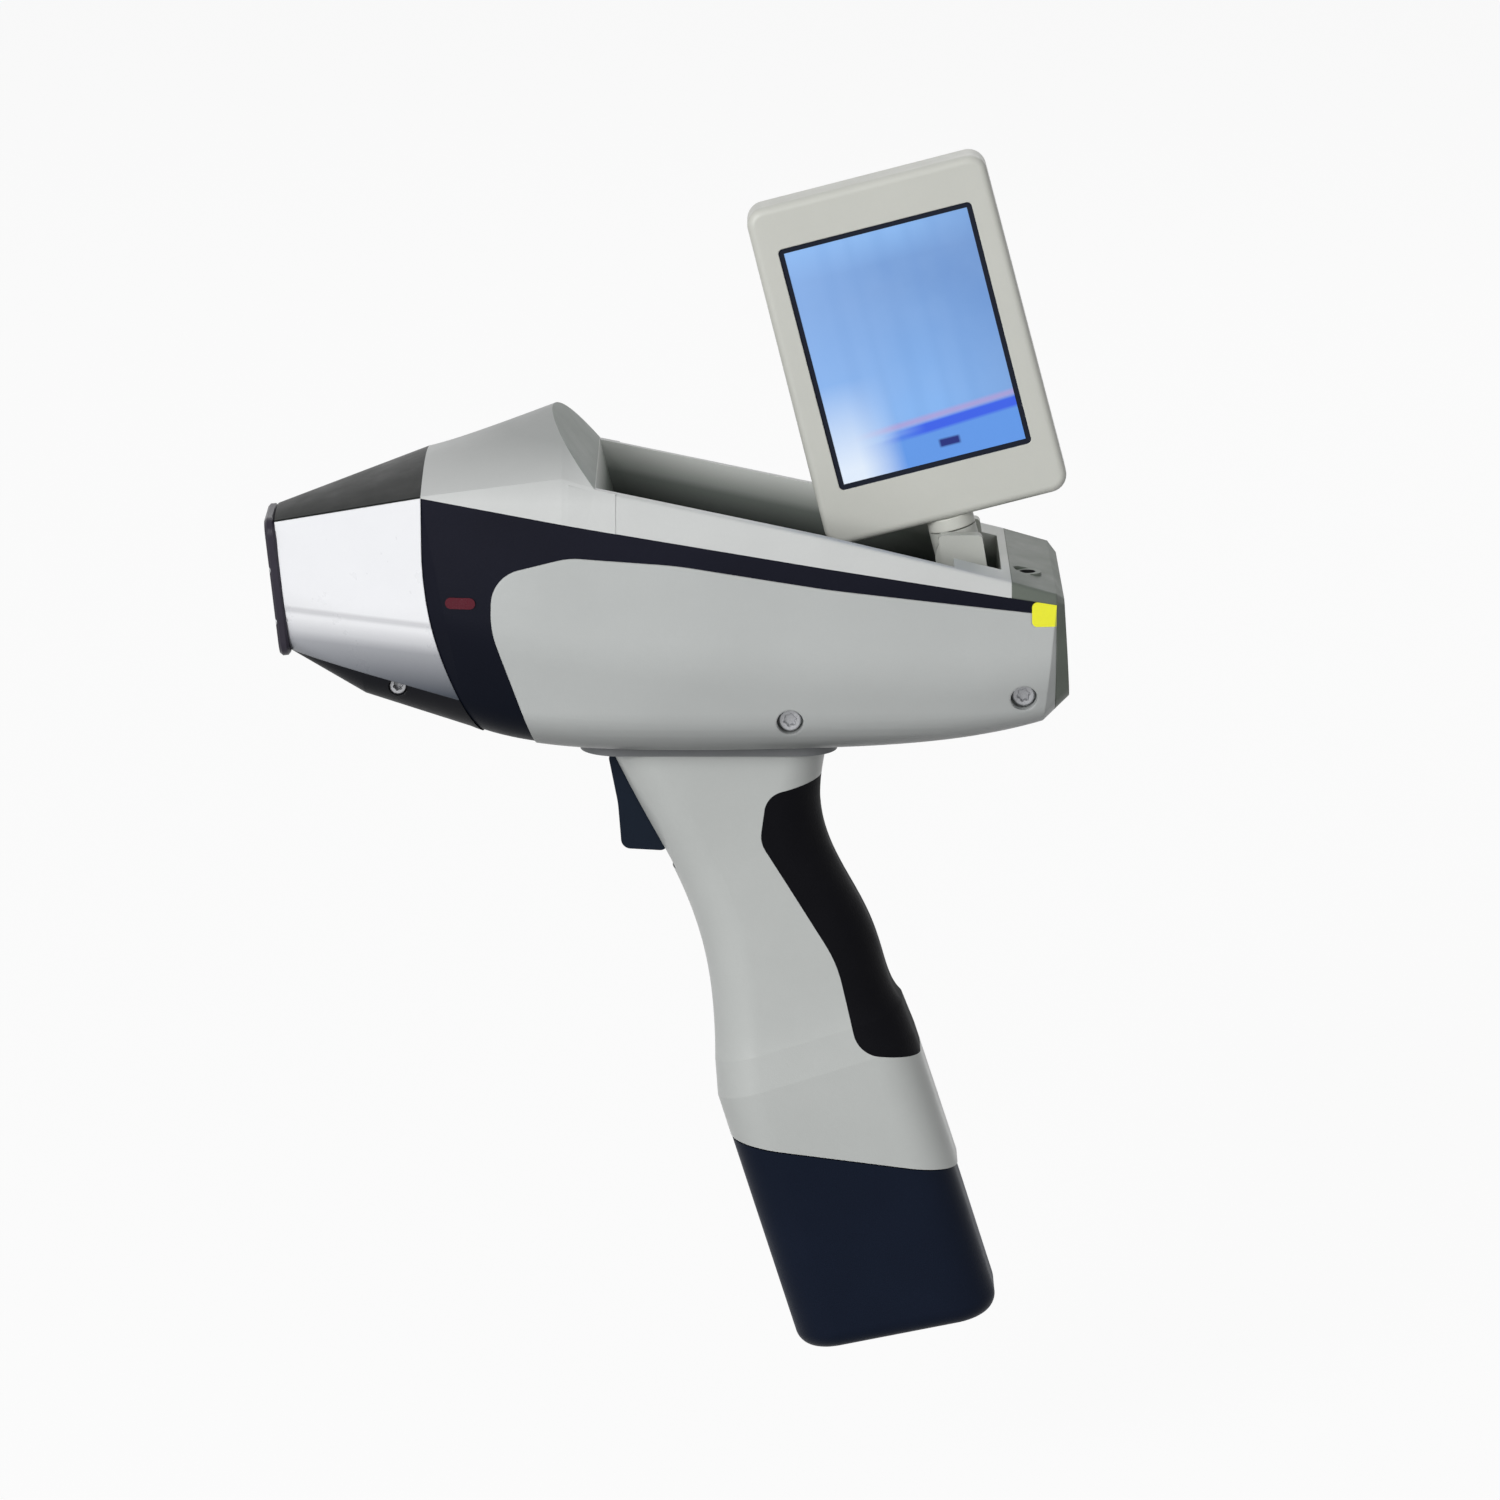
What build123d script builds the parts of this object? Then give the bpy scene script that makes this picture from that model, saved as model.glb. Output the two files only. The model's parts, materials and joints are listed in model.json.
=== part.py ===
"""Handheld X-ray fluorescence analyser: nose, body, pistol grip, battery and swivelling display.

Millimetres. The origin is the centre of the measuring window on the nose's front face.
+X points out of the nose, +Y to the left of the analyser, +Z up.
"""

import math
import os

from build123d import *

os.makedirs("parts", exist_ok=True)

# --- Driving dimensions -------------------------------------------------------------------

# Measuring end. The front face leans forward at the top.
face_lean = 6.0
front_plate_thickness = 3.2
front_half_width = 14.8
front_rise = 23.4
front_drop = 19.4
front_corner = 5.0
aperture_radius = 5.0
film_seat_radius = 8.0
film_thickness = 0.3
retainer_height = 0.9

# Body, given at stations along its length: top and bottom points in the middle plane, and the
# half widths at the top, at the waist of the side and at the bottom.
body_wall = 2.6
joint_top_x = -46.0
joint_top_z = 35.2
seam_slope = 0.17
chin_x = -28.0
chin_drop = 5.0
joint_drop = 3.4
hump_x = -90.0
middle_x = -131.0
taper_x = -171.0
rear_x = -240.0
cap_x = rear_x + 4.5
belly_z = -44.5
rear_belly_z = -35.5
rear_low_z = -28.0
body_half_width = 45.0
shoulder_half_width = 43.0
body_swell = 0.8
rear_half_width = 39.4
side_round = 38.0
belly_round = 15.0
nose_half_width = 38.0
nose_bevel_z = -16.5
nose_bevel_slope = 0.19
waist_share = 0.46
belly_inset_share = 0.7

# Hump and display bay on top of the body.
ridge_slope = 0.395
hump_crown = 5.0
bay_clearance = 0.2
bay_depth = 20.0
bay_side_wall = 2.1
rail_front_x = -98.0
rail_front_z = 38.0
rail_middle_x = -165.0
rail_middle_z = 23.7
rail_rear_x = rear_x + 18.0
rail_rear_z = 9.8
rail_cap_rise = 3.0
rail_end_rise = 0.8
hinge_bay_half_width = 24.0
hinge_bay_front_x = rear_x + 35.0
hinge_bay_rear_x = rear_x + 20.5

# Side trim and lamps.
red_lamp_x = -57.6
red_lamp_z = 3.8
red_lamp_length = 9.0
red_lamp_height = 3.4
trim_sink = 0.5
yellow_lamp_z = 0.2
yellow_lamp_size = 7.4
yellow_lamp_x = cap_x + yellow_lamp_size / 2

# Grip, measured along its leaning axis from a point under the body.
grip_lean = 17.5
grip_top_x = -132.0
grip_top_z = -48.0
grip_wall = 3.4
collar_front_x = -92.5
collar_rear_x = -170.5
collar_half_width = 21.5
collar_width = 8.0
rubber_thickness = 1.8
parting_front_x = -140.3
parting_front_z = -171.5
parting_rear_x = -205.0
parting_rear_z = -180.0

# Trigger.
trigger_half_width = 7.8
trigger_side_clearance = 0.5
pivot_x = -112.0
pivot_z = -56.5
pivot_radius = 2.0
pin_fit = 0.05

# Battery.
battery_half_width = 20.3
battery_front = -31.0
battery_rear = 31.5
battery_end = 194.3
battery_wall = 2.2
foot_lean = 11.5
foot_round = 6.0
stem_top = 98.0
stem_front = -24.4
stem_rear = 26.4
stem_half_width = 14.6
cell_radius = 10.5
cell_length = 70.0
parting_gap = 0.4

# Display and its hinge.
display_lean = 14.5
tilt_x = rear_x + 32.8
tilt_z = 10.8
display_offset = 12.0
display_bottom_half = 37.6
display_top_half = 36.8
display_length = 106.0
display_half_thickness = 8.0
display_split = 1.0
display_wall = 2.0
display_corner = 5.4
screen_half_width = 29.8
screen_low = 16.6
screen_high = 92.6
glass_border = 1.6
glass_thickness = 1.2
knuckle_radius = 7.2
knuckle_half_width = 9.0
knuckle_top = 7.8
swivel_radius = 3.5
swivel_gap = 0.4
tilt_pin_radius = 2.5
ear_thickness = 5.0
ear_gap = 0.3

# Inside parts.
chassis_thickness = 2.5
chassis_half_width = 23.5
chassis_front_x = -78.0
chassis_rear_x = rear_x + 28.0
tube_radius = 9.0
tube_offset = 7.0
tube_start = 34.0
tube_length = 62.0
snout_radius = 2.8
wheel_radius = 9.3
wheel_ring = 6.5
wheel_thickness = 1.5
detector_radius = 5.0
detector_offset = -8.4

# --- Frames and small helpers ---------------------------------------------------------------

FAR = 400.0

lean = math.radians(face_lean)
beam = Vector(math.cos(lean), 0, -math.sin(lean))
beam_up = Vector(math.sin(lean), 0, math.cos(lean))

grip_angle = math.radians(grip_lean)
grip_up = Vector(math.sin(grip_angle), 0, math.cos(grip_angle))
grip_back = Vector(-math.cos(grip_angle), 0, math.sin(grip_angle))
grip_origin = Vector(grip_top_x, 0, grip_top_z)

display_angle = math.radians(display_lean)
display_up = Vector(math.sin(display_angle), 0, math.cos(display_angle))
display_side = Vector(-math.cos(display_angle), 0, math.sin(display_angle))
tilt_centre = Vector(tilt_x, 0, tilt_z)


def beam_plane(depth):
    """Plane across the beam, depth behind the front face; its y runs up the face."""
    return Plane(origin=beam * -depth, x_dir=(0, 1, 0), z_dir=beam)


def grip_plane(distance):
    """Plane across the grip, distance below its top; its y runs to the back of the grip."""
    return Plane(origin=grip_origin - grip_up * distance, x_dir=(0, 1, 0), z_dir=grip_up)


def display_plane(height):
    """Plane across the swivel axis, height above the tilt axis; its y is the left side."""
    return Plane(origin=tilt_centre + display_up * height, x_dir=display_side * -1, z_dir=display_up)


def screen_plane(left):
    """Plane of the screen, left of the middle; x runs to the rear and y up the display."""
    foot = tilt_centre + display_up * display_offset
    return Plane(origin=foot + Vector(0, left, 0), x_dir=display_side, z_dir=(0, 1, 0))


def seam_z(x):
    """Height of the straight seam between the upper housing and the side trim."""
    return joint_top_z - seam_slope * (joint_top_x - x)


def side_prism(points, half_width, radii=0):
    """Solid with the given outline in the middle plane, reaching half_width to both sides."""
    if not isinstance(radii, (list, tuple)):
        radii = [radii] * len(points)
    with BuildPart() as prism:
        with BuildSketch(Plane.XZ) as outline:
            with BuildLine():
                Polyline(*points, close=True)
            make_face()
            for (x, z), radius in zip(points, radii):
                if radius:
                    fillet(outline.vertices().sort_by_distance((x, z))[0], radius=radius)
        extrude(amount=half_width, both=True)
    return prism.part


def one_side(sign):
    """Everything on one side of the middle plane: left is +1 and right is -1."""
    with BuildPart() as half:
        with BuildSketch(Plane.XZ):
            Rectangle(2 * FAR, 2 * FAR)
        extrude(amount=-sign * FAR)
    return half.part


left_half = one_side(1)
right_half = one_side(-1)

# --- Outer form of the body ---------------------------------------------------------------

seat = beam * -front_plate_thickness
front_top = seat + beam_up * (front_rise - 1.0)
front_low = seat - beam_up * (front_drop - 1.0)
belly_slope = (front_low.Z - belly_z) / (front_low.X - (hump_x - 2))
joint_low_x = joint_top_x - 14.0
joint_low_z = front_low.Z - belly_slope * (front_low.X - joint_low_x) - joint_drop
chin_low_z = front_low.Z - belly_slope * (front_low.X - chin_x) - chin_drop
chin_share = (front_low.X - chin_x) / (front_low.X - joint_low_x)
chin_top = front_top + (Vector(joint_top_x, 0, joint_top_z) - front_top) * chin_share


def widened(front, joint):
    """Half width at the chin, between the front and the joint."""
    return front + (joint - front) * chin_share


# Each station: top x, top z, bottom x, bottom z, half widths at top, waist and bottom, rounds.
front_station = (
    front_top.X, front_top.Z, front_low.X, front_low.Z,
    front_half_width - 1.5, front_half_width - 0.4, front_half_width - 2.5, 25.0, 6.0,
)
joint_station = (
    joint_top_x, joint_top_z, joint_low_x, joint_low_z,
    nose_half_width, nose_half_width + 2.6, nose_half_width - 5, side_round, belly_round,
)
chin_station = (
    chin_top.X, chin_top.Z, chin_x, chin_low_z,
    *[widened(front, joint) for front, joint in zip(front_station[4:], joint_station[4:])],
)
cap_station = (
    cap_x, seam_z(cap_x), cap_x + 3.5, rear_belly_z,
    rear_half_width, rear_half_width + 1.0, rear_half_width - 7, side_round - 14, belly_round - 4,
)
rear_station = (
    rear_x + 2, seam_z(rear_x + 2), rear_x, rear_low_z,
    rear_half_width - 4, rear_half_width - 3, rear_half_width - 9, side_round - 14, belly_round - 5,
)
middle_stations = [
    joint_station,
    (hump_x, seam_z(hump_x), hump_x - 2, belly_z + body_swell,
     shoulder_half_width - body_swell, body_half_width - body_swell, body_half_width - 8,
     side_round, belly_round),
    (middle_x, seam_z(middle_x), middle_x - 1, belly_z,
     shoulder_half_width, body_half_width, body_half_width - 8, side_round, belly_round),
    (taper_x, seam_z(taper_x), taper_x - 1, belly_z + body_swell,
     shoulder_half_width - body_swell, body_half_width - body_swell, body_half_width - 9,
     side_round, belly_round),
    cap_station,
]


def body_section(station, inset, lift):
    """Cross section of the body at a station, drawn in by inset and raised by lift at the top."""
    top_x, top_z, low_x, low_z, top_half, waist_half, low_half, waist_round, low_round = station
    rise = Vector(top_x - low_x, 0, top_z - low_z)
    up = rise.normalized()
    across = Plane(origin=(low_x, 0, low_z), x_dir=(0, 1, 0), z_dir=Vector(0, 1, 0).cross(up))
    corners = [
        (top_half - inset, rise.length + lift),
        (waist_half - inset, rise.length * waist_share),
        (low_half - inset * belly_inset_share, inset),
    ]
    mirrored = [(-y, s) for y, s in reversed(corners)]
    with BuildSketch(across) as section:
        with BuildLine():
            Polyline(*corners, *mirrored, close=True)
        make_face()
        fillet(section.vertices().sort_by(Axis.Y)[2:4], radius=waist_round - inset)
        fillet(section.vertices().sort_by(Axis.Y)[0:2], radius=low_round - inset)
    return section.sketch


def body_form(inset, lift):
    """Body outline: straight nose, smoothly swelling middle and straight end."""
    nose = [body_section(row, inset, lift) for row in (front_station, chin_station, joint_station)]
    middle = [body_section(row, inset, lift) for row in middle_stations]
    end = [body_section(row, inset, lift) for row in (cap_station, rear_station)]
    with BuildPart() as form:
        loft(sections=nose, ruled=True)
        loft(sections=middle)
        loft(sections=end, ruled=True)
    return form.part


def above_top(drop):
    """Everything above the nose's top and above the seam, lowered by drop."""
    nose_slope = (joint_top_z - front_top.Z) / (front_top.X - joint_top_x)
    ahead = 30.0
    return side_prism(
        [
            (front_top.X + ahead, front_top.Z - nose_slope * ahead - drop),
            (joint_top_x, joint_top_z - drop),
            (-FAR, seam_z(-FAR) - drop),
            (-FAR, FAR),
            (front_top.X + ahead, FAR),
        ],
        FAR,
    )


body_over = 2.0
outer_form = body_form(0, body_over)
inner_form = body_form(body_wall, body_over)
above_seam = above_top(0)
above_lining = above_top(body_wall)

# Everything ahead of the joint between the nose and the body, which curves back at the bottom.
joint_radius = 108.0
joint_bend_z = 20.0
joint_end_z = -60.0
joint_turn = math.asin((joint_bend_z - joint_end_z) / joint_radius)
joint_end_x = joint_top_x - joint_radius * (1 - math.cos(joint_turn))
joint_mid_x = joint_top_x - joint_radius * (1 - math.cos(joint_turn / 2))
joint_mid_z = joint_bend_z - joint_radius * math.sin(joint_turn / 2)
with BuildPart() as ahead_of_joint:
    with BuildSketch(Plane.XZ):
        with BuildLine():
            Line((joint_top_x, FAR), (joint_top_x, joint_bend_z))
            ThreePointArc(
                (joint_top_x, joint_bend_z), (joint_mid_x, joint_mid_z), (joint_end_x, joint_end_z)
            )
            Polyline((joint_end_x, joint_end_z), (FAR, joint_end_z), (FAR, FAR), (joint_top_x, FAR))
        make_face()
    extrude(amount=FAR, both=True)

# Everything behind the end of the side shells.
behind_cap = side_prism([(cap_x, FAR), (cap_x, -FAR), (-FAR, -FAR), (-FAR, FAR)], FAR)

# Outline of the plain side panel, which the dark trim runs round in front and above.
panel_points = [
    (-FAR, -4.0 - 0.11 * (FAR - 246)),
    (-168.0, 8.2),
    (-122.0, 15.8),
    (-90.0, 18.0),
    (-67.0, 12.0),
    (-66.6, -4.0),
    (-86.0, -60.0),
    (-FAR, -60.0),
]
panel_region = side_prism(panel_points, FAR, [0, 200, 120, 22, 11, 30, 0, 0])

# --- Nose ---------------------------------------------------------------------------------

below_bevel = side_prism(
    [
        (30.0, nose_bevel_z + nose_bevel_slope * 30),
        (-FAR, nose_bevel_z - nose_bevel_slope * FAR),
        (-FAR, -FAR),
        (30.0, -FAR),
    ],
    FAR,
)


def nose_top_z(x):
    """Height of the nose's straight top edge."""
    share = (x - joint_top_x) / (front_top.X - joint_top_x)
    return joint_top_z + share * (front_top.Z - joint_top_z)


def arched(x, base_z, base_half, eave_z, eave_half, ridge_z):
    """Cross section at x with straight sides and an arched roof."""
    with BuildSketch(Plane.YZ.offset(x)) as section:
        with BuildLine():
            Polyline(
                (-eave_half, eave_z), (-base_half, base_z), (base_half, base_z), (eave_half, eave_z)
            )
            ThreePointArc((eave_half, eave_z), (0, ridge_z), (-eave_half, eave_z))
        make_face()
    return section.sketch


cover_edge = 0.5
cover_inset = 0.4
front_crown = 1.9
cover_sections = [
    arched(
        x,
        nose_top_z(x),
        half - cover_inset,
        nose_top_z(x) + cover_edge,
        half - cover_inset,
        nose_top_z(x) + crown,
    )
    for x, half, crown in (
        (front_top.X, front_half_width - 1.5, front_crown),
        (joint_top_x, nose_half_width, hump_crown),
    )
]
with BuildPart() as nose_top_cover:
    loft(sections=cover_sections, ruled=True)

# Front plate with the measuring aperture, its film and its screws.
plate_screw_y = front_half_width - 1.9
plate_screw_rise = 8.0
plate_screw_spots = [(y * plate_screw_y, s * plate_screw_rise) for y in (-1, 1) for s in (-1, 1)]
plate_head_radius = 1.5
plate_head_height = 0.9
plate_shank_radius = 0.7
plate_screw_length = 9.0
face_middle = (front_rise - front_drop) / 2
film_depth = front_plate_thickness - retainer_height - film_thickness

with BuildPart() as window_plate:
    with BuildSketch(beam_plane(front_plate_thickness)):
        with Locations((0, face_middle)):
            RectangleRounded(2 * front_half_width, front_rise + front_drop, front_corner)
    extrude(amount=front_plate_thickness)
    chamfer(window_plate.faces().sort_by(Axis.X)[-1].edges(), length=0.8)
    with BuildSketch(beam_plane(front_plate_thickness)):
        Circle(aperture_radius)
    extrude(amount=front_plate_thickness, mode=Mode.SUBTRACT)
    with BuildSketch(beam_plane(front_plate_thickness)):
        Circle(film_seat_radius)
    extrude(amount=front_plate_thickness - film_depth, mode=Mode.SUBTRACT)
    with BuildSketch(beam_plane(0)):
        with Locations(*plate_screw_spots):
            Circle(plate_head_radius)
    extrude(amount=-plate_head_height, mode=Mode.SUBTRACT)
    with BuildSketch(beam_plane(0)):
        with Locations(*plate_screw_spots):
            Circle(plate_shank_radius)
    extrude(amount=-front_plate_thickness, mode=Mode.SUBTRACT)

with BuildPart() as window_film:
    with BuildSketch(beam_plane(film_depth)):
        Circle(film_seat_radius - 0.1)
    extrude(amount=-film_thickness)

with BuildPart() as film_retainer:
    with BuildSketch(beam_plane(front_plate_thickness)):
        Circle(film_seat_radius - 0.1)
        Circle(aperture_radius + 0.6, mode=Mode.SUBTRACT)
    extrude(amount=retainer_height)

with BuildPart() as window_screws:
    with BuildSketch(beam_plane(0)):
        with Locations(*plate_screw_spots):
            Circle(plate_head_radius)
    extrude(amount=-plate_head_height)
    with BuildSketch(beam_plane(0)):
        with Locations(*plate_screw_spots):
            Circle(plate_shank_radius)
    extrude(amount=-plate_screw_length)

with BuildPart() as plate_screw_holes:
    with BuildSketch(beam_plane(0)):
        with Locations(*plate_screw_spots):
            Circle(plate_shank_radius)
    extrude(amount=-plate_screw_length)

# Screws that hold the dark cover under the nose, one on each side.
under_screw_x = -38.0
under_screw_z = -25.5
under_head_radius = 2.6
under_pocket_radius = 2.9
under_head_inner = 17.5
under_head_outer = 23.4
under_shank_radius = 1.2
under_shank_inner = 12.0


def side_pins(x, z, radius, inner, outer):
    """Two round pins across the analyser at (x, z), from inner to outer on each side."""
    with BuildPart() as pins:
        for sign in (-1, 1):
            with BuildSketch(Plane.XZ.offset(sign * inner)):
                with Locations((x, z)):
                    Circle(radius)
            extrude(amount=sign * (outer - inner))
    return pins.part


with BuildPart() as nose_screws:
    add(side_pins(under_screw_x, under_screw_z, under_head_radius, under_head_inner, under_head_outer))
    add(side_pins(under_screw_x, under_screw_z, under_shank_radius, under_shank_inner, under_head_inner))

with BuildPart() as nose_shell:
    add(outer_form)
    add(above_seam, mode=Mode.SUBTRACT)
    add(ahead_of_joint.part, mode=Mode.INTERSECT)
    add(inner_form - above_lining, mode=Mode.SUBTRACT)
    add(below_bevel, mode=Mode.SUBTRACT)
    add(plate_screw_holes.part, mode=Mode.SUBTRACT)
    add(nose_screws.part, mode=Mode.SUBTRACT)

with BuildPart() as nose_under_cover:
    add(outer_form)
    add(ahead_of_joint.part, mode=Mode.INTERSECT)
    add(inner_form - above_lining, mode=Mode.SUBTRACT)
    add(below_bevel, mode=Mode.INTERSECT)
    add(
        side_pins(under_screw_x, under_screw_z, under_pocket_radius, under_head_outer, FAR),
        mode=Mode.SUBTRACT,
    )
    add(nose_screws.part, mode=Mode.SUBTRACT)

# --- Upper housing: hump, display bay and rails --------------------------------------------

top_line = [(row[0], row[4]) for row in (*middle_stations, rear_station)]
rail_end_x = rear_x + 2.0
rail_line = [
    (rail_front_x, rail_front_z),
    (rail_middle_x, rail_middle_z),
    (rail_rear_x, rail_rear_z),
    (cap_x, seam_z(cap_x) + rail_cap_rise),
    (rail_end_x, seam_z(rail_end_x) + rail_end_rise),
]


def along(line, x):
    """Value of a line of (x, value) points at x; its end runs go on beyond it."""
    first = line[0]
    second = line[1]
    for point in line[2:]:
        if x < second[0]:
            first = second
            second = point
    return first[1] + (second[1] - first[1]) * (x - first[0]) / (second[0] - first[0])


def top_half(x):
    """Half width of the body at the seam."""
    return along(top_line, x)


def rail_z(x):
    """Height of the rails beside the display bay."""
    return along(rail_line, x)


bay_half_width = (
    min(top_half(rail_front_x), top_half(hinge_bay_front_x))
    - body_wall
    - bay_side_wall
    - bay_clearance
)


def ridge_z(x):
    """Height of the hump's ridge."""
    return joint_top_z + hump_crown + ridge_slope * (joint_top_x - x)


peak_x = -84.5
eave_x = -88.0
hump_end_x = -104.0
shoulder_lean = 4.2
hump_line = [
    (joint_top_x, seam_z(joint_top_x) + cover_edge, nose_half_width - cover_inset),
    (eave_x, rail_z(eave_x) + 1.0, top_half(eave_x) - shoulder_lean),
    (hump_end_x, rail_z(hump_end_x), top_half(hump_end_x) - 3.4),
]


def hump_form(inset, start_x):
    """Hump outline from start_x to its end, drawn in by inset."""
    eaves = [(x, z) for x, z, _ in hump_line]
    halves = [(x, half) for x, _, half in hump_line]
    sections = [
        arched(
            x,
            seam_z(x) - inset,
            top_half(x) - inset,
            along(eaves, x) - inset,
            along(halves, x) - inset,
            ridge_z(x) - inset,
        )
        for x in (start_x, eave_x, hump_end_x)
    ]
    with BuildPart() as form:
        loft(sections=sections, ruled=True)
    return form.part


rail_round = 1.4
with BuildPart() as rail_form:
    for x, shoulder in (
        (hump_x, 3.6), (rail_middle_x, 2.8), (rail_rear_x, 1.8), (cap_x, 1.8), (rail_end_x, 3.0)
    ):
        with BuildSketch(Plane.YZ.offset(x)) as section:
            half = top_half(x)
            with BuildLine():
                Polyline(
                    (-half, seam_z(x)),
                    (half, seam_z(x)),
                    (half - shoulder, rail_z(x)),
                    (shoulder - half, rail_z(x)),
                    close=True,
                )
            make_face()
            fillet(section.vertices().sort_by(Axis.Y)[-2:], radius=rail_round)
    loft(ruled=True)

# Sloping front wall of the bay, from the hump's peak down to the rails.
peak = Vector(peak_x, 0, ridge_z(peak_x))
wall_foot = Vector(rail_front_x, 0, rail_front_z)
wall_rise = peak - wall_foot
over_peak = peak + wall_rise


def behind_wall(ahead):
    """Everything above the rails and behind the bay's front wall, which is moved ahead."""
    return side_prism(
        [
            (over_peak.X + ahead, over_peak.Z),
            (wall_foot.X + ahead, wall_foot.Z),
            (hump_end_x - 6, rail_z(hump_end_x - 6)),
            (hump_end_x - 6, FAR),
            (over_peak.X + ahead, FAR),
        ],
        FAR,
    )


bay_front_x = -103.5
hinge_floor_x = hinge_bay_front_x + 4


def floor_z(x):
    """Height of the bay's floor."""
    return rail_z(x) - bay_depth


def bay_space(grow, roof):
    """Room of the display bay and the narrower hinge bay behind it, grown by a wall."""
    wide = side_prism(
        [
            (rail_front_x + grow, roof),
            (rail_front_x + grow, rail_front_z),
            (bay_front_x + grow, floor_z(bay_front_x) - grow),
            (rail_middle_x, floor_z(rail_middle_x) - grow),
            (hinge_bay_front_x - grow, floor_z(hinge_bay_front_x) - grow),
            (hinge_bay_front_x - grow, roof),
        ],
        bay_half_width + grow,
    )
    narrow = side_prism(
        [
            (hinge_floor_x, roof),
            (hinge_floor_x, floor_z(hinge_floor_x) - grow),
            (hinge_bay_rear_x - grow, floor_z(hinge_bay_rear_x) - grow),
            (hinge_bay_rear_x - grow, roof),
        ],
        hinge_bay_half_width + grow,
    )
    return wide + narrow


ahead_of_cap_block = side_prism(
    [(rail_rear_x, -FAR), (FAR, -FAR), (FAR, FAR), (rail_rear_x, FAR)], FAR
)
hump_hollow_start = -60.0
hump_hollow_end = rail_front_x + body_wall + 1.0
hump_hollow = hump_form(body_wall, hump_hollow_start) - behind_wall(body_wall + 1.0)
hump_hollow -= side_prism(
    [(hump_hollow_end, -FAR), (hump_hollow_end, FAR), (-FAR, FAR), (-FAR, -FAR)], FAR
)
below_seam = side_prism(
    [(-20.0, seam_z(-20.0) + 1), (-FAR, seam_z(-FAR) + 1), (-FAR, -FAR), (-20.0, -FAR)], FAR
)

with BuildPart() as upper_housing:
    add(hump_form(0, joint_top_x))
    add(rail_form.part)
    add(behind_wall(0), mode=Mode.SUBTRACT)
    add(ahead_of_cap_block, mode=Mode.INTERSECT)
    add(bay_space(bay_side_wall, FAR) & below_seam)
    add(bay_space(0, FAR), mode=Mode.SUBTRACT)
    add(hump_hollow, mode=Mode.SUBTRACT)

# --- Side shells, dark trim, lamps and rear cap ---------------------------------------------

rib_top_z = -35.5
rib_height = 2.5
rib_front_x = -92.0
rib_rear_x = rear_x + 34.0
rib_inner = chassis_half_width - 2.5
side_screw_spots = [(-156.0, -33.0, 34.0), (rear_x + 14.0, -26.0, 31.0)]
side_head_radius = 3.4
side_head_height = 2.4
side_pocket_radius = 4.0
side_boss_radius = 5.2
side_boss_inner = chassis_half_width + 0.5
side_shank_radius = 1.5


def skin_of(form):
    """Wall of the body between the nose and the rear cap, out to the given form."""
    with BuildPart() as skin:
        add(form)
        add(above_seam, mode=Mode.SUBTRACT)
        add(ahead_of_joint.part, mode=Mode.SUBTRACT)
        add(behind_cap, mode=Mode.SUBTRACT)
        add(inner_form, mode=Mode.SUBTRACT)
    return skin.part


body_skin = skin_of(outer_form)
trim_skin = skin_of(body_form(trim_sink, body_over))

with BuildPart() as red_lamp_holes:
    with BuildSketch(Plane.XZ):
        with Locations((red_lamp_x, red_lamp_z)):
            SlotOverall(red_lamp_length, red_lamp_height)
    extrude(amount=FAR, both=True)

with BuildPart() as yellow_lamp_holes:
    with BuildSketch(Plane.XZ):
        with Locations((yellow_lamp_x, yellow_lamp_z)):
            RectangleRounded(yellow_lamp_size, yellow_lamp_size, 1.6)
        with Locations((cap_x + yellow_lamp_size / 4, yellow_lamp_z)):
            Rectangle(yellow_lamp_size / 2, yellow_lamp_size)
    extrude(amount=FAR, both=True)

with BuildPart() as xray_lamp_lenses:
    add(body_skin)
    add(red_lamp_holes.part, mode=Mode.INTERSECT)

with BuildPart() as status_lamp_lenses:
    add(body_skin)
    add(yellow_lamp_holes.part, mode=Mode.INTERSECT)

with BuildPart() as trim_ring:
    add(trim_skin)
    add(panel_region, mode=Mode.SUBTRACT)
    add(red_lamp_holes.part, mode=Mode.SUBTRACT)
    add(yellow_lamp_holes.part, mode=Mode.SUBTRACT)

with BuildPart() as side_screws:
    for x, z, seat_y in side_screw_spots:
        add(side_pins(x, z, side_head_radius, seat_y, seat_y + side_head_height))
        add(side_pins(x, z, side_shank_radius, side_boss_inner + 1, seat_y))

with BuildPart() as side_supports:
    for sign in (-1, 1):
        with BuildSketch(Plane.XZ.offset(sign * rib_inner)):
            with Locations(((rib_front_x + rib_rear_x) / 2, rib_top_z - rib_height / 2)):
                Rectangle(rib_front_x - rib_rear_x, rib_height)
        extrude(amount=sign * (body_half_width - rib_inner))
    for x, z, seat_y in side_screw_spots:
        add(side_pins(x, z, side_boss_radius, side_boss_inner, body_half_width))
    add(outer_form, mode=Mode.INTERSECT)

with BuildPart() as side_walls:
    add(body_skin)
    add(panel_region, mode=Mode.INTERSECT)
    add(side_supports.part)
    add(yellow_lamp_holes.part, mode=Mode.SUBTRACT)
    for x, z, seat_y in side_screw_spots:
        add(side_pins(x, z, side_pocket_radius, seat_y, FAR), mode=Mode.SUBTRACT)
        add(side_pins(x, z, side_shank_radius, side_boss_inner, seat_y), mode=Mode.SUBTRACT)

with BuildPart() as trim_left:
    add(trim_ring.part)
    add(left_half, mode=Mode.INTERSECT)

with BuildPart() as trim_right:
    mirror(trim_left.part, about=Plane.XZ)

with BuildPart() as side_shell_left:
    add(side_walls.part)
    add(left_half, mode=Mode.INTERSECT)

with BuildPart() as side_shell_right:
    mirror(side_shell_left.part, about=Plane.XZ)

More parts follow.
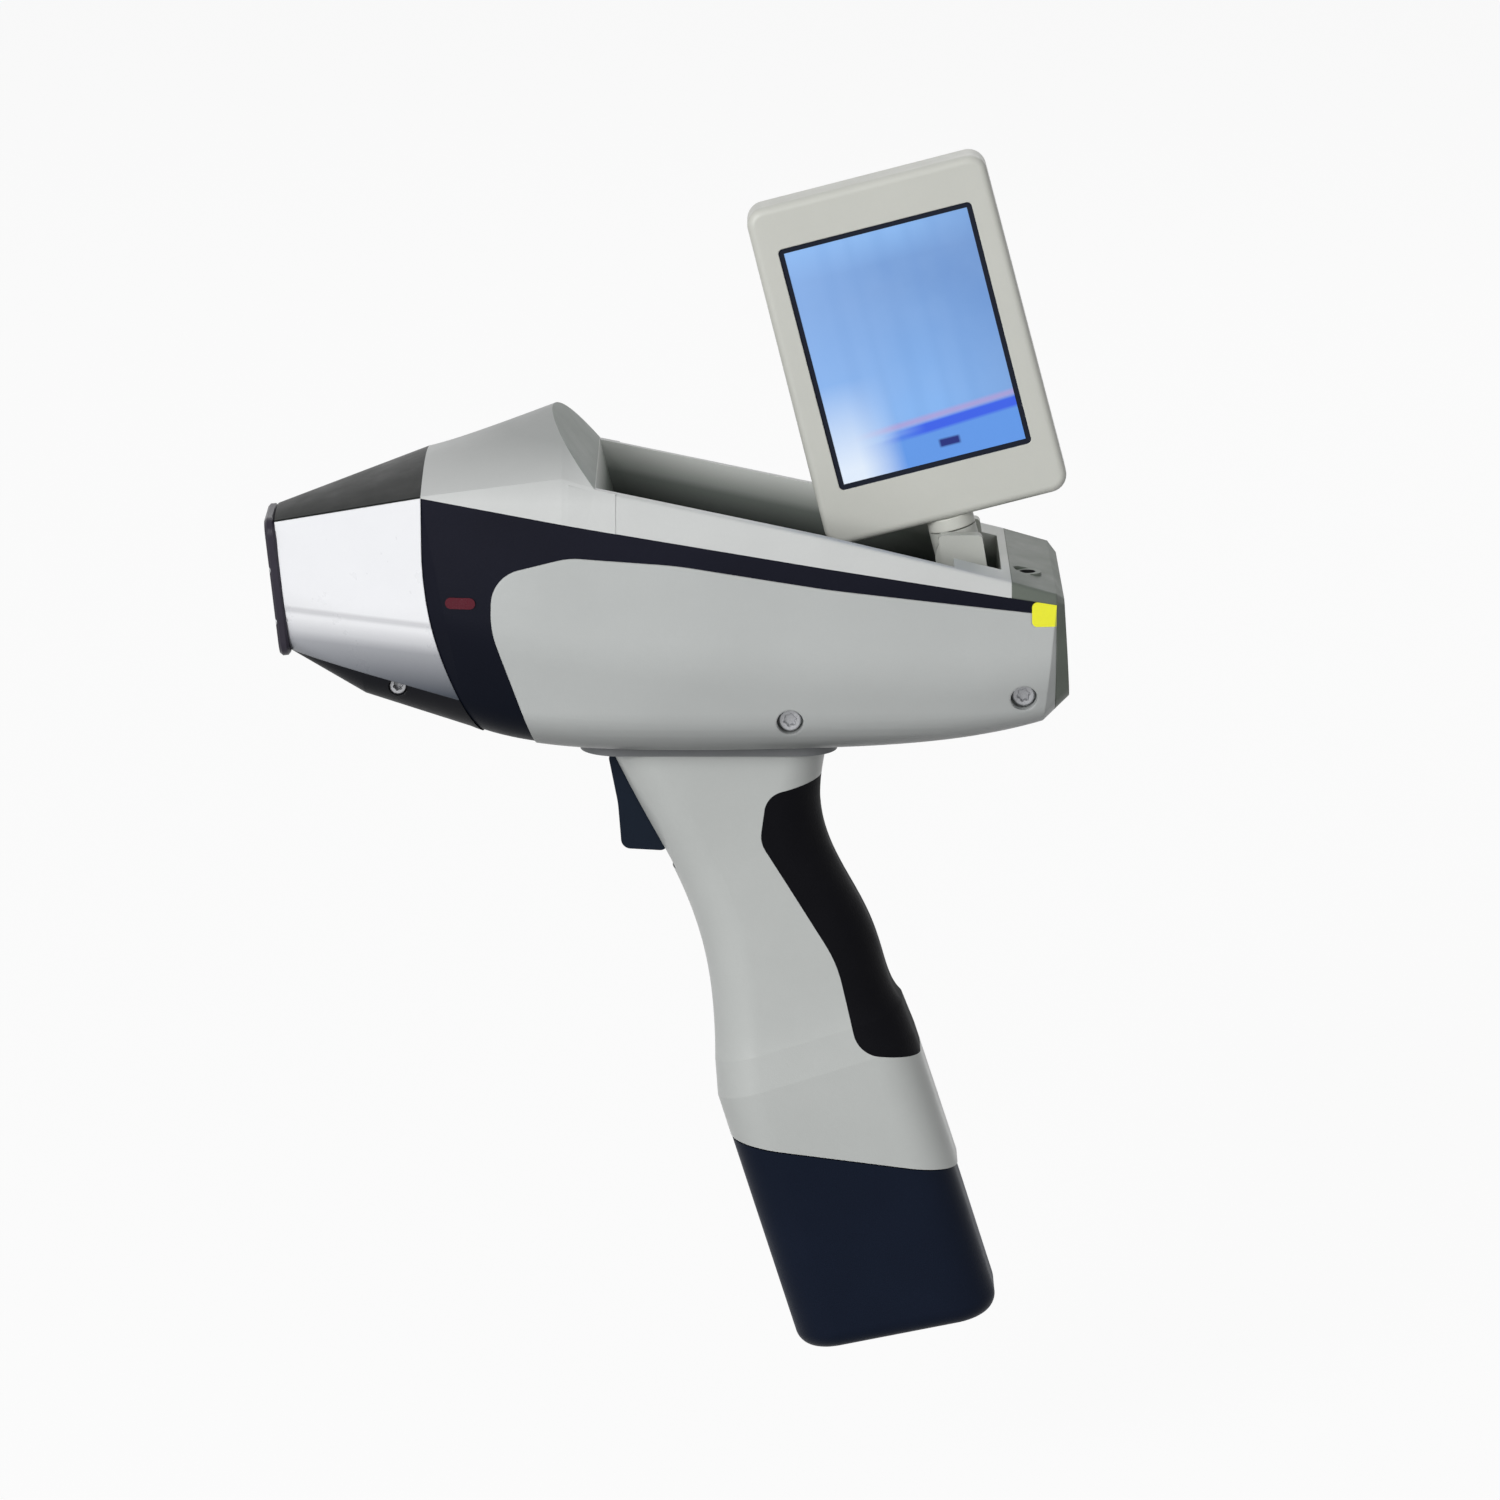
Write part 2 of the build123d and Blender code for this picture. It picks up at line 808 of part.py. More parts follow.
socket_x = rear_x + 12.5
socket_y = 16.0
socket_radius = 4.2
socket_bore = 2.4
socket_depth = 9.0
socket_floor = 1.5
socket_top_z = rail_z(socket_x) - 0.1

with BuildPart() as rear_cap:
    add(rail_form.part - ahead_of_cap_block)
    add((outer_form - above_seam) & behind_cap)
    with BuildSketch(Plane.XY.offset(-20)):
        with Locations((socket_x, socket_y)):
            Circle(socket_radius)
    extrude(amount=FAR, mode=Mode.SUBTRACT)

with BuildPart() as power_socket:
    with BuildSketch(Plane.XY.offset(socket_top_z - socket_depth - socket_floor)):
        with Locations((socket_x, socket_y)):
            Circle(socket_radius)
    extrude(amount=socket_depth + socket_floor)
    with BuildSketch(Plane.XY.offset(socket_top_z - socket_depth)):
        with Locations((socket_x, socket_y)):
            Circle(socket_bore)
    extrude(amount=socket_depth, mode=Mode.SUBTRACT)

# --- Grip ---------------------------------------------------------------------------------

# Distance down the grip, front, back, half width.
grip_stations = [
    (-14, -30.0, 41.0, 21.0),
    (6, -27.0, 36.2, 19.6),
    (22, -24.4, 28.2, 17.9),
    (36, -22.3, 25.2, 17.0),
    (56, -21.2, 27.6, 17.0),
    (78, -24.0, 30.0, 17.8),
    (95, -28.6, 31.6, 19.3),
]
flare_end = (106, -31.2, 32.3, 20.4)
foot_end = (165, -31.4, 32.8, 20.5)
grip_round = 14.0


def grip_section(station, inset):
    """Rounded section of the grip at a station, drawn in by inset."""
    distance, front, back, half = station
    with BuildSketch(grip_plane(distance)) as section:
        with Locations((0, (front + back) / 2)):
            RectangleRounded(2 * (half - inset), back - front - 2 * inset, grip_round - inset)
    return section.sketch


def grip_form(inset):
    """Grip outline, drawn in by inset: shaped to the hand above, flared and straight below."""
    hand = [grip_section(station, inset) for station in grip_stations]
    flare = [grip_section(station, inset) for station in (grip_stations[-1], flare_end, foot_end)]
    with BuildPart() as form:
        loft(sections=hand)
        loft(sections=flare, ruled=True)
    return form.part


parting_slope = (parting_front_z - parting_rear_z) / (parting_front_x - parting_rear_x)


def parting_z(x):
    """Height of the slanted joint between grip and battery."""
    return parting_front_z + parting_slope * (x - parting_front_x)


def under_parting(drop):
    """Everything under the joint between grip and battery, lowered by drop."""
    return side_prism(
        [(0, parting_z(0) - drop), (-FAR, parting_z(-FAR) - drop), (-FAR, -FAR), (0, -FAR)], FAR
    )


above_grip = side_prism([(0, grip_top_z), (-FAR, grip_top_z), (-FAR, FAR), (0, FAR)], FAR)
rubber_region = side_prism(
    [(-178, -54), (-149, -61), (-147, -76), (-160, -97), (-170.5, -114), (-177, -142), (-215, -147)],
    FAR,
    [0, 7, 9, 60, 40, 9, 0],
)
slot_half_width = trigger_half_width + trigger_side_clearance
trigger_slot = side_prism(
    [(-90, -40), (-127, -40), (-127, -86.5), (-90, -86.5)], slot_half_width, [0, 0, 3, 0]
)

grip_outer = grip_form(0)
grip_inner = grip_form(grip_wall)
grip_core = grip_form(rubber_thickness)

# Bosses inside the grip: distance down the grip and distance behind its axis.
grip_screw_spots = [(14, 14), (52, 3), (84, 4)]
grip_boss_radius = 3.8
grip_shank_radius = 1.3
grip_head_radius = 2.7
grip_head_height = 2.0
grip_pocket_radius = 3.0
grip_seat_y = 12.0
grip_shank_end = 7.0
pin_half_length = 13.5
pin_boss_radius = 4.4


def grip_point(distance, back):
    """Middle-plane point of the grip as (x, z)."""
    place = grip_origin - grip_up * distance + grip_back * back
    return (place.X, place.Z)


def across_grip(spots, radius, start_y, end_y):
    """Round pins across the grip at the given (x, z) spots, from start_y to end_y."""
    with BuildPart() as pins:
        with BuildSketch(Plane.XZ.offset(-start_y)):
            with Locations(*spots):
                Circle(radius)
        extrude(amount=start_y - end_y)
    return pins.part


screw_points = [grip_point(*spot) for spot in grip_screw_spots]
pivot_point = (pivot_x, pivot_z)

with BuildPart() as grip_body:
    add(grip_outer)
    add(grip_inner, mode=Mode.SUBTRACT)
    add(across_grip(screw_points, grip_boss_radius, -30, 30) & grip_outer)
    add(side_pins(pivot_x, pivot_z, pin_boss_radius, slot_half_width, 30) & grip_outer)
    add(above_grip, mode=Mode.SUBTRACT)
    add(under_parting(0), mode=Mode.SUBTRACT)
    add(trigger_slot, mode=Mode.SUBTRACT)
    add(across_grip([pivot_point], pivot_radius, -pin_half_length, pin_half_length), mode=Mode.SUBTRACT)
    add(across_grip(screw_points, grip_shank_radius, -30, grip_shank_end), mode=Mode.SUBTRACT)
    add(across_grip(screw_points, grip_pocket_radius, -30, -grip_seat_y), mode=Mode.SUBTRACT)

with BuildPart() as grip_rubber:
    add(grip_outer)
    add(grip_core, mode=Mode.SUBTRACT)
    add(rubber_region, mode=Mode.INTERSECT)

with BuildPart() as grip_left:
    add(grip_body.part - grip_rubber.part)
    add(left_half, mode=Mode.INTERSECT)

with BuildPart() as grip_right:
    add(grip_body.part - grip_rubber.part)
    add(right_half, mode=Mode.INTERSECT)

with BuildPart() as grip_screws:
    add(across_grip(screw_points, grip_head_radius, -grip_seat_y - grip_head_height, -grip_seat_y))
    add(across_grip(screw_points, grip_shank_radius, -grip_seat_y, grip_shank_end))

with BuildPart() as grip_collar:
    with BuildSketch(Plane.XY.offset(grip_top_z)):
        with Locations(((collar_front_x + collar_rear_x) / 2, 0)):
            RectangleRounded(collar_front_x - collar_rear_x, 2 * collar_half_width, 12)
            RectangleRounded(
                collar_front_x - collar_rear_x - 2 * collar_width,
                2 * (collar_half_width - collar_width),
                6,
                mode=Mode.SUBTRACT,
            )
    extrude(amount=belly_z - grip_top_z + 3 * body_swell)
    add(outer_form, mode=Mode.SUBTRACT)

# --- Trigger ------------------------------------------------------------------------------

trigger_outline = [
    (-100.8, -50.6),
    (-103.8, -66.0),
    (-104.9, -80.2),
    (-117.6, -80.9),
    (-122.4, -76.0),
    (-119.4, -58.0),
    (-117.0, -50.6),
]
with BuildPart() as trigger:
    add(side_prism(trigger_outline, trigger_half_width, [1.5, 30, 3, 2.5, 2.5, 10, 2]))
    add(
        across_grip([pivot_point], pivot_radius + pin_fit, -trigger_half_width, trigger_half_width),
        mode=Mode.SUBTRACT,
    )

with BuildPart() as trigger_pin:
    add(across_grip([pivot_point], pivot_radius, -pin_half_length, pin_half_length))

bracket_x = -134.0
bracket_thickness = 1.6
bracket_half_width = 9.0
bracket_low_z = -82.5
with BuildPart() as trigger_bracket:
    add(
        side_prism(
            [
                (bracket_x, grip_top_z),
                (bracket_x, bracket_low_z),
                (bracket_x + bracket_thickness, bracket_low_z),
                (bracket_x + bracket_thickness, grip_top_z),
            ],
            bracket_half_width,
        )
    )
    with BuildSketch(Plane.XY.offset(grip_top_z)):
        for sign in (-1, 1):
            with Locations((bracket_x + 4, sign * (collar_half_width - 9.5))):
                Rectangle(8, 8)
    extrude(amount=-bracket_thickness)
    with BuildSketch(Plane.XY.offset(grip_top_z)):
        with Locations((bracket_x + bracket_thickness / 2, 0)):
            Rectangle(bracket_thickness, 2 * collar_half_width - 12)
    extrude(amount=-bracket_thickness)

switch_depth = 7.5
switch_low_z = -68.0
switch_high_z = -59.0
plunger_radius = 1.0
plunger_reach = 2.2
bracket_face = bracket_x + bracket_thickness
with BuildPart() as trigger_switch:
    add(
        side_prism(
            [
                (bracket_face, switch_low_z),
                (bracket_face + switch_depth, switch_low_z),
                (bracket_face + switch_depth, switch_high_z),
                (bracket_face, switch_high_z),
            ],
            4.0,
        )
    )
    with BuildSketch(Plane.YZ.offset(bracket_face + switch_depth)):
        with Locations((0, (switch_low_z + switch_high_z) / 2)):
            Circle(plunger_radius)
    extrude(amount=plunger_reach)

spring_radius = 2.6
spring_wire = 0.35
spring_z = -77.5
spring_length = -122.6 - bracket_face - 2 * spring_wire
with BuildPart() as trigger_spring:
    with BuildLine() as coil:
        Helix(
            pitch=spring_length / 5,
            height=spring_length,
            radius=spring_radius,
            center=(bracket_face + spring_wire, 0, spring_z),
            direction=(1, 0, 0),
        )
    with BuildSketch(Plane(origin=coil.line @ 0, z_dir=coil.line % 0)):
        Circle(spring_wire)
    sweep(path=coil.line)

# --- Battery ------------------------------------------------------------------------------

battery_middle = (battery_front + battery_rear) / 2
battery_span = battery_rear - battery_front
stem_middle = (stem_front + stem_rear) / 2
stem_span = stem_rear - stem_front
cell_spots = [(0, stem_middle - cell_radius - 0.15), (0, stem_middle + cell_radius + 0.15)]
cell_room = 0.4
lower_room_start = 153.0

foot_middle = grip_origin - grip_up * battery_end
foot_slope = math.tan(math.radians(foot_lean))
foot_tilt = (math.tan(grip_angle) - foot_slope) * battery_span / 2
case_bottom = battery_wall + foot_tilt
under_foot = side_prism(
    [
        (foot_middle.X + FAR, foot_middle.Z - foot_slope * FAR),
        (foot_middle.X - FAR, foot_middle.Z + foot_slope * FAR),
        (foot_middle.X - FAR, -2 * FAR),
        (foot_middle.X + FAR, -2 * FAR),
    ],
    FAR,
)

with BuildPart() as battery_case:
    with BuildSketch(grip_plane(battery_end + battery_span)):
        with Locations((0, battery_middle)):
            RectangleRounded(2 * battery_half_width, battery_span, grip_round - 1)
    extrude(amount=battery_end + battery_span - stem_top)
    add(under_foot, mode=Mode.SUBTRACT)
    fillet(battery_case.faces().sort_by(Axis.Z)[0].edges(), radius=foot_round)
    add(under_parting(parting_gap), mode=Mode.INTERSECT)
    with BuildSketch(grip_plane(stem_top)):
        with Locations((0, stem_middle)):
            RectangleRounded(2 * stem_half_width, stem_span, 8)
    extrude(amount=-60)
    with BuildSketch(grip_plane(stem_top)):
        with Locations((0, stem_middle)):
            RectangleRounded(
                2 * (cell_radius + cell_room), 4 * cell_radius + 0.3 + 2 * cell_room, cell_radius
            )
    extrude(amount=stem_top - battery_end + case_bottom, mode=Mode.SUBTRACT)
    with BuildSketch(grip_plane(lower_room_start)):
        with Locations((0, battery_middle)):
            RectangleRounded(
                2 * (battery_half_width - battery_wall), battery_span - 2 * battery_wall, 10
            )
    extrude(amount=lower_room_start - battery_end + case_bottom, mode=Mode.SUBTRACT)

with BuildPart() as battery_cells:
    with BuildSketch(grip_plane(battery_end - case_bottom - 0.3)):
        with Locations(*cell_spots):
            Circle(cell_radius)
    extrude(amount=cell_length)

terminal_board_end = battery_end - case_bottom - 0.3 - cell_length - 0.3
with BuildPart() as battery_terminals:
    with BuildSketch(grip_plane(stem_top)):
        with Locations((0, stem_middle)):
            RectangleRounded(2 * cell_radius, 4 * cell_radius, cell_radius - 0.5)
    extrude(amount=-2.5)
    with BuildSketch(grip_plane(stem_top)):
        with Locations((0, stem_middle)):
            Rectangle(1.6, 3 * cell_radius)
    extrude(amount=stem_top - terminal_board_end)

contact_start = 92.4
with BuildPart() as grip_contacts:
    with BuildSketch(grip_plane(contact_start)):
        with Locations((0, stem_middle)):
            Rectangle(2 * 14.6, 20)
    extrude(amount=-3.4)
    with BuildSketch(grip_plane(contact_start + 3.4)):
        with Locations((-6, stem_middle), (6, stem_middle)):
            Rectangle(2.0, 9.0)
    extrude(amount=-1.6)

# --- Display hinge ------------------------------------------------------------------------

ear_inner = knuckle_half_width + ear_gap
ear_outer = ear_inner + ear_thickness
ear_height = 8.0
ear_half_length = 6.6
ear_round = 1.6
ear_cover = 1.2
base_half_width = ear_outer + 3
base_thickness = 2.0
base_front_x = hinge_bay_front_x - 1.0
base_rear_x = hinge_bay_rear_x + 1.0


def floor_strip(front_x, rear_x, height, half_width):
    """Plate on the bay's floor."""
    return side_prism(
        [
            (front_x, floor_z(front_x)),
            (rear_x, floor_z(rear_x)),
            (rear_x, floor_z(rear_x) + height),
            (front_x, floor_z(front_x) + height),
        ],
        half_width,
    )


pin_end = ear_outer - ear_cover
with BuildPart() as hinge_bracket:
    for sign in (-1, 1):
        with BuildSketch(Plane.XZ.offset(sign * ear_inner)) as ear:
            with BuildLine():
                Polyline(
                    (tilt_x + ear_half_length, tilt_z + ear_height),
                    (tilt_x - ear_half_length, tilt_z + ear_height),
                    (base_rear_x, floor_z(base_rear_x)),
                    (base_front_x + 2, floor_z(base_front_x + 2)),
                    close=True,
                )
            make_face()
            fillet(ear.vertices().group_by(Axis.Z)[-1], radius=ear_round)
        extrude(amount=sign * ear_thickness)
    add(floor_strip(base_front_x + 2, base_rear_x, base_thickness, base_half_width))
    add(
        across_grip([(tilt_x, tilt_z)], tilt_pin_radius, -ear_outer, pin_end),
        mode=Mode.SUBTRACT,
    )

# The pin goes in from the right and stops inside the left ear.
with BuildPart() as tilt_pin:
    add(across_grip([(tilt_x, tilt_z)], tilt_pin_radius, -ear_outer, pin_end))

shaft_start = tilt_pin_radius + 1.0
shaft_end = display_offset + 6.8
clip_start = display_offset + display_wall + 1.0
clip_height = 1.2
clip_radius = 4.8
with BuildPart() as hinge_knuckle:
    add(across_grip([(tilt_x, tilt_z)], knuckle_radius, -knuckle_half_width, knuckle_half_width))
    with BuildSketch(display_plane(0)):
        Circle(knuckle_radius)
    extrude(amount=knuckle_top)
    add(
        across_grip(
            [(tilt_x, tilt_z)], tilt_pin_radius + pin_fit, -knuckle_half_width, knuckle_half_width
        ),
        mode=Mode.SUBTRACT,
    )
    with BuildSketch(display_plane(shaft_start)):
        Circle(swivel_radius)
    extrude(amount=knuckle_top, mode=Mode.SUBTRACT)

with BuildPart() as swivel_shaft:
    with BuildSketch(display_plane(shaft_start)):
        Circle(swivel_radius)
    extrude(amount=shaft_end - shaft_start)

with BuildPart() as swivel_clip:
    with BuildSketch(display_plane(clip_start)):
        Circle(clip_radius)
        Circle(swivel_radius, mode=Mode.SUBTRACT)
    extrude(amount=clip_height)

# --- Display ------------------------------------------------------------------------------

swivel_bore = swivel_radius + pin_fit
with BuildPart() as swivel_boss:
    with BuildSketch(display_plane(knuckle_top + swivel_gap)):
        Circle(knuckle_radius)
        Circle(swivel_bore, mode=Mode.SUBTRACT)
    extrude(amount=display_offset - knuckle_top - swivel_gap)
    fillet(
        swivel_boss.edges().filter_by(GeomType.CIRCLE).sort_by(Axis.Z)[-1:], radius=0.3
    )


def display_slab(inset, start, depth):
    """Slab of the display's outline from start towards the left, with rounded corners."""
    with BuildPart() as slab:
        with BuildSketch(screen_plane(start)) as outline:
            with BuildLine():
                Polyline(
                    (inset - display_bottom_half, inset),
                    (display_bottom_half - inset, inset),
                    (display_top_half - inset, display_length - inset),
                    (inset - display_top_half, display_length - inset),
                    close=True,
                )
            make_face()
            fillet(outline.vertices(), radius=display_corner - inset)
        extrude(amount=depth)
    return slab.part


display_screw_x = display_top_half - 5.0
display_screw_low = 6.4
display_screw_high = display_length - 6.4
display_screw_spots = [
    (side * display_screw_x, y) for side in (-1, 1) for y in (display_screw_low, display_screw_high)
]
display_boss_radius = 3.0
display_shank_radius = 1.2
display_head_radius = 2.2
display_head_height = 1.4
screen_middle = (screen_low + screen_high) / 2
screen_height = screen_high - screen_low
front_depth = display_half_thickness - display_split
back_depth = display_half_thickness + display_split


def display_posts(radius, start, depth):
    """Round posts at the display's screws, from start towards the left."""
    with BuildPart() as posts:
        with BuildSketch(screen_plane(start)):
            with Locations(*display_screw_spots):
                Circle(radius)
        extrude(amount=depth)
    return posts.part


with BuildPart() as shaft_room:
    with BuildSketch(display_plane(display_offset - 1)):
        Circle(swivel_radius + 0.3)
    extrude(amount=display_wall + 2)

with BuildPart() as display_front:
    add(display_slab(0, display_split, front_depth))
    fillet(display_front.faces().sort_by(Axis.Y)[-1].edges(), radius=2.4)
    add(display_slab(display_wall, display_split, front_depth - display_wall), mode=Mode.SUBTRACT)
    add(display_posts(display_boss_radius, display_split, front_depth - display_wall))
    with BuildSketch(screen_plane(display_split)):
        with Locations((0, screen_middle)):
            RectangleRounded(2 * screen_half_width, screen_height, 1.5)
    extrude(amount=front_depth, mode=Mode.SUBTRACT)
    add(display_posts(display_shank_radius, display_split, 3.0), mode=Mode.SUBTRACT)
    add(shaft_room.part, mode=Mode.SUBTRACT)

with BuildPart() as display_back:
    add(display_slab(0, -display_half_thickness, back_depth))
    fillet(display_back.faces().sort_by(Axis.Y)[0].edges(), radius=3.2)
    add(
        display_slab(display_wall, display_wall - display_half_thickness, back_depth - display_wall),
        mode=Mode.SUBTRACT,
    )
    add(
        display_posts(
            display_boss_radius, display_wall - display_half_thickness, back_depth - display_wall
        )
    )
    add(display_posts(display_shank_radius, -display_half_thickness, back_depth), mode=Mode.SUBTRACT)
    add(
        display_posts(display_head_radius, -display_half_thickness, display_head_height + 0.6),
        mode=Mode.SUBTRACT,
    )
    add(shaft_room.part, mode=Mode.SUBTRACT)

head_start = 0.6 - display_half_thickness
with BuildPart() as display_screws:
    add(display_posts(display_head_radius, head_start, display_head_height))
    add(display_posts(display_shank_radius, head_start + display_head_height, 10.0))

module_half_width = screen_half_width + 2.0
module_low = screen_low - 2.0
module_high = screen_high + 2.5
module_thickness = 3.8
module_front = display_half_thickness - display_wall
with BuildPart() as lcd_module:
    with BuildSketch(screen_plane(module_front - module_thickness)):
        with Locations((0, (module_low + module_high) / 2)):
            Rectangle(2 * module_half_width, module_high - module_low)
    extrude(amount=module_thickness)

with BuildPart() as screen_gasket:
    with BuildSketch(screen_plane(module_front)):
        with Locations((0, screen_middle)):
            RectangleRounded(2 * screen_half_width, screen_height, 1.5)
            Rectangle(
                2 * (screen_half_width - glass_border),
                screen_height - 2 * glass_border,
                mode=Mode.SUBTRACT,
            )
    extrude(amount=glass_thickness + 0.2)

with BuildPart() as touch_glass:
    with BuildSketch(screen_plane(module_front)):
        with Locations((0, screen_middle)):
            Rectangle(2 * (screen_half_width - glass_border), screen_height - 2 * glass_border)
    extrude(amount=glass_thickness)

board_thickness = 1.6
spacer_height = 2.0
board_front = module_front - module_thickness - spacer_height
with BuildPart() as display_board:
    with BuildSketch(screen_plane(board_front - board_thickness)):
        with Locations((0, (module_low + module_high) / 2)):
            Rectangle(2 * module_half_width - 4, module_high - module_low - 4)
    extrude(amount=board_thickness)
    with BuildSketch(screen_plane(board_front)):
        with Locations((0, (module_low + module_high) / 2)):
            with GridLocations(2 * module_half_width - 12, module_high - module_low - 12, 2, 2):
                Circle(1.8)
    extrude(amount=spacer_height)
    with BuildSketch(screen_plane(board_front - board_thickness)):
        with Locations((0, screen_middle)):
            Rectangle(22, 22)
    extrude(amount=-1.6)

# --- Measuring parts inside the nose --------------------------------------------------------

block_depth = 12.0
block_half_width = 9.4
block_low = -13.6
block_high = 15.4
arm_low = tube_offset + wheel_radius + 0.6
arm_thickness = 1.2
arm_start = 8.0
wheel_y = -wheel_ring
wheel_depth = block_depth + 1.0
motor_plate_depth = wheel_depth + wheel_thickness + 1.8
motor_radius = 3.0
motor_length = 12.0
spindle_radius = 0.8
arm_half = 3.4


def beam_box(y_low, y_high, up_low, up_high, depth, length):
    """Box in the beam's frame, from depth to depth + length behind the front face."""
    with BuildPart() as box:
        with BuildSketch(beam_plane(depth)):
            with Locations(((y_low + y_high) / 2, (up_low + up_high) / 2)):
                Rectangle(y_high - y_low, up_high - up_low)
        extrude(amount=-length)
    return box.part


def beam_round(y, up, radius, depth, length):
    """Cylinder along the beam, from depth to depth + length behind the front face."""
    with BuildPart() as rod:
        with BuildSketch(beam_plane(depth)):
            with Locations((y, up)):
                Circle(radius)
        extrude(amount=-length)
    return rod.part


with BuildPart() as measuring_block:
    add(
        beam_box(
            -block_half_width, block_half_width, block_low, block_high,
            front_plate_thickness, block_depth - front_plate_thickness,
        )
    )
    add(beam_box(wheel_y - arm_half, 3, 10, arm_low + arm_thickness, arm_start, block_depth - arm_start))
    add(
        beam_box(
            wheel_y - arm_half, wheel_y + arm_half, arm_low, arm_low + arm_thickness,
            block_depth, motor_plate_depth + arm_thickness - block_depth,
        )
    )
    add(
        beam_box(
            wheel_y - arm_half, wheel_y + arm_half, 2, arm_low + arm_thickness,
            motor_plate_depth, arm_thickness,
        )
    )
    add(beam_box(-5, 5, -11.6, 10.2, front_plate_thickness, 4.8), mode=Mode.SUBTRACT)
    add(beam_round(0, tube_offset, 2.4, front_plate_thickness, 20), mode=Mode.SUBTRACT)
    add(beam_round(0, detector_offset, 3.6, front_plate_thickness, 20), mode=Mode.SUBTRACT)
    add(
        beam_round(wheel_y, tube_offset, spindle_radius + 0.2, block_depth - 1, 20),
        mode=Mode.SUBTRACT,
    )

with BuildPart() as filter_wheel:
    with BuildSketch(beam_plane(wheel_depth)):
        with Locations((wheel_y, tube_offset)):
            Circle(wheel_radius)
            with PolarLocations(wheel_ring, 6):
                Circle(2.4, mode=Mode.SUBTRACT)
    extrude(amount=-wheel_thickness)
    add(beam_round(wheel_y, tube_offset, spindle_radius, block_depth - 0.6, 10.0))

with BuildPart() as filter_foils:
    with BuildSketch(beam_plane(wheel_depth + 0.5)):
        with Locations((wheel_y, tube_offset)):
            with PolarLocations(wheel_ring, 5, start_angle=60, angular_range=300, endpoint=False):
                Circle(2.36)
    extrude(amount=-0.4)

motor_start = motor_plate_depth + arm_thickness
with BuildPart() as filter_motor:
    add(beam_round(wheel_y, tube_offset, motor_radius, motor_start, motor_length))
    add(beam_round(wheel_y, tube_offset, spindle_radius + 0.1, motor_start, 5.0), mode=Mode.SUBTRACT)

with BuildPart() as detector:
    add(beam_round(0, detector_offset, detector_radius, block_depth, 6.0))
    add(beam_round(0, detector_offset, detector_radius - 1.0, block_depth + 6.0, 18.0))

with BuildPart() as xray_tube:
    add(beam_round(0, tube_offset, snout_radius, motor_start - 0.4, tube_start - motor_start + 0.4))
    add(beam_round(0, tube_offset, tube_radius, tube_start, tube_length))

# --- Chassis and electronics ----------------------------------------------------------------

chassis_top = rib_top_z + chassis_thickness


def chassis_box(front_x, rear_x, low_z, high_z, half_width):
    """Box across the middle plane."""
    return side_prism([(front_x, low_z), (rear_x, low_z), (rear_x, high_z), (front_x, high_z)], half_width)


cradle_front_x = -81.0
cradle_rear_x = -93.0
cradle_half_width = 12.0
cradle_top_z = 19.0
supply_front_x = -136.0
supply_rear_x = rear_x + 40.0
supply_half_width = 17.5
supply_top_z = -15.0
board_low_z = -11.0
post_radius = 1.8
post_y = 20.6
board_front_x = -112.0
board_rear_x = rear_x + 37.0

with BuildPart() as chassis:
    add(chassis_box(chassis_front_x, chassis_rear_x, rib_top_z, chassis_top, chassis_half_width))

with BuildPart() as tube_cradle:
    add(chassis_box(cradle_front_x, cradle_rear_x, chassis_top, cradle_top_z, cradle_half_width))
    add(beam_round(0, tube_offset, tube_radius, tube_start, tube_length), mode=Mode.SUBTRACT)

with BuildPart() as high_voltage_supply:
    add(chassis_box(supply_front_x, supply_rear_x, chassis_top, supply_top_z, supply_half_width))

with BuildPart() as board_posts:
    with BuildSketch(Plane.XY.offset(chassis_top)):
        with Locations(((board_front_x + board_rear_x) / 2, 0)):
            with GridLocations(board_front_x - board_rear_x - 6, 2 * post_y, 2, 2):
                Circle(post_radius)
    extrude(amount=board_low_z - chassis_top)

with BuildPart() as main_board:
    add(chassis_box(board_front_x, board_rear_x, board_low_z, board_low_z + 1.6, post_y + 2))
    add(chassis_box(-122, -136, board_low_z + 1.6, board_low_z + 3.4, 7))
    add(chassis_box(-144, -152, board_low_z + 1.6, board_low_z + 3.0, 4))

with BuildPart() as pulse_processor:
    add(chassis_box(-100, -128, chassis_top, chassis_top + 12, 15))

# --- Write the parts ----------------------------------------------------------------------

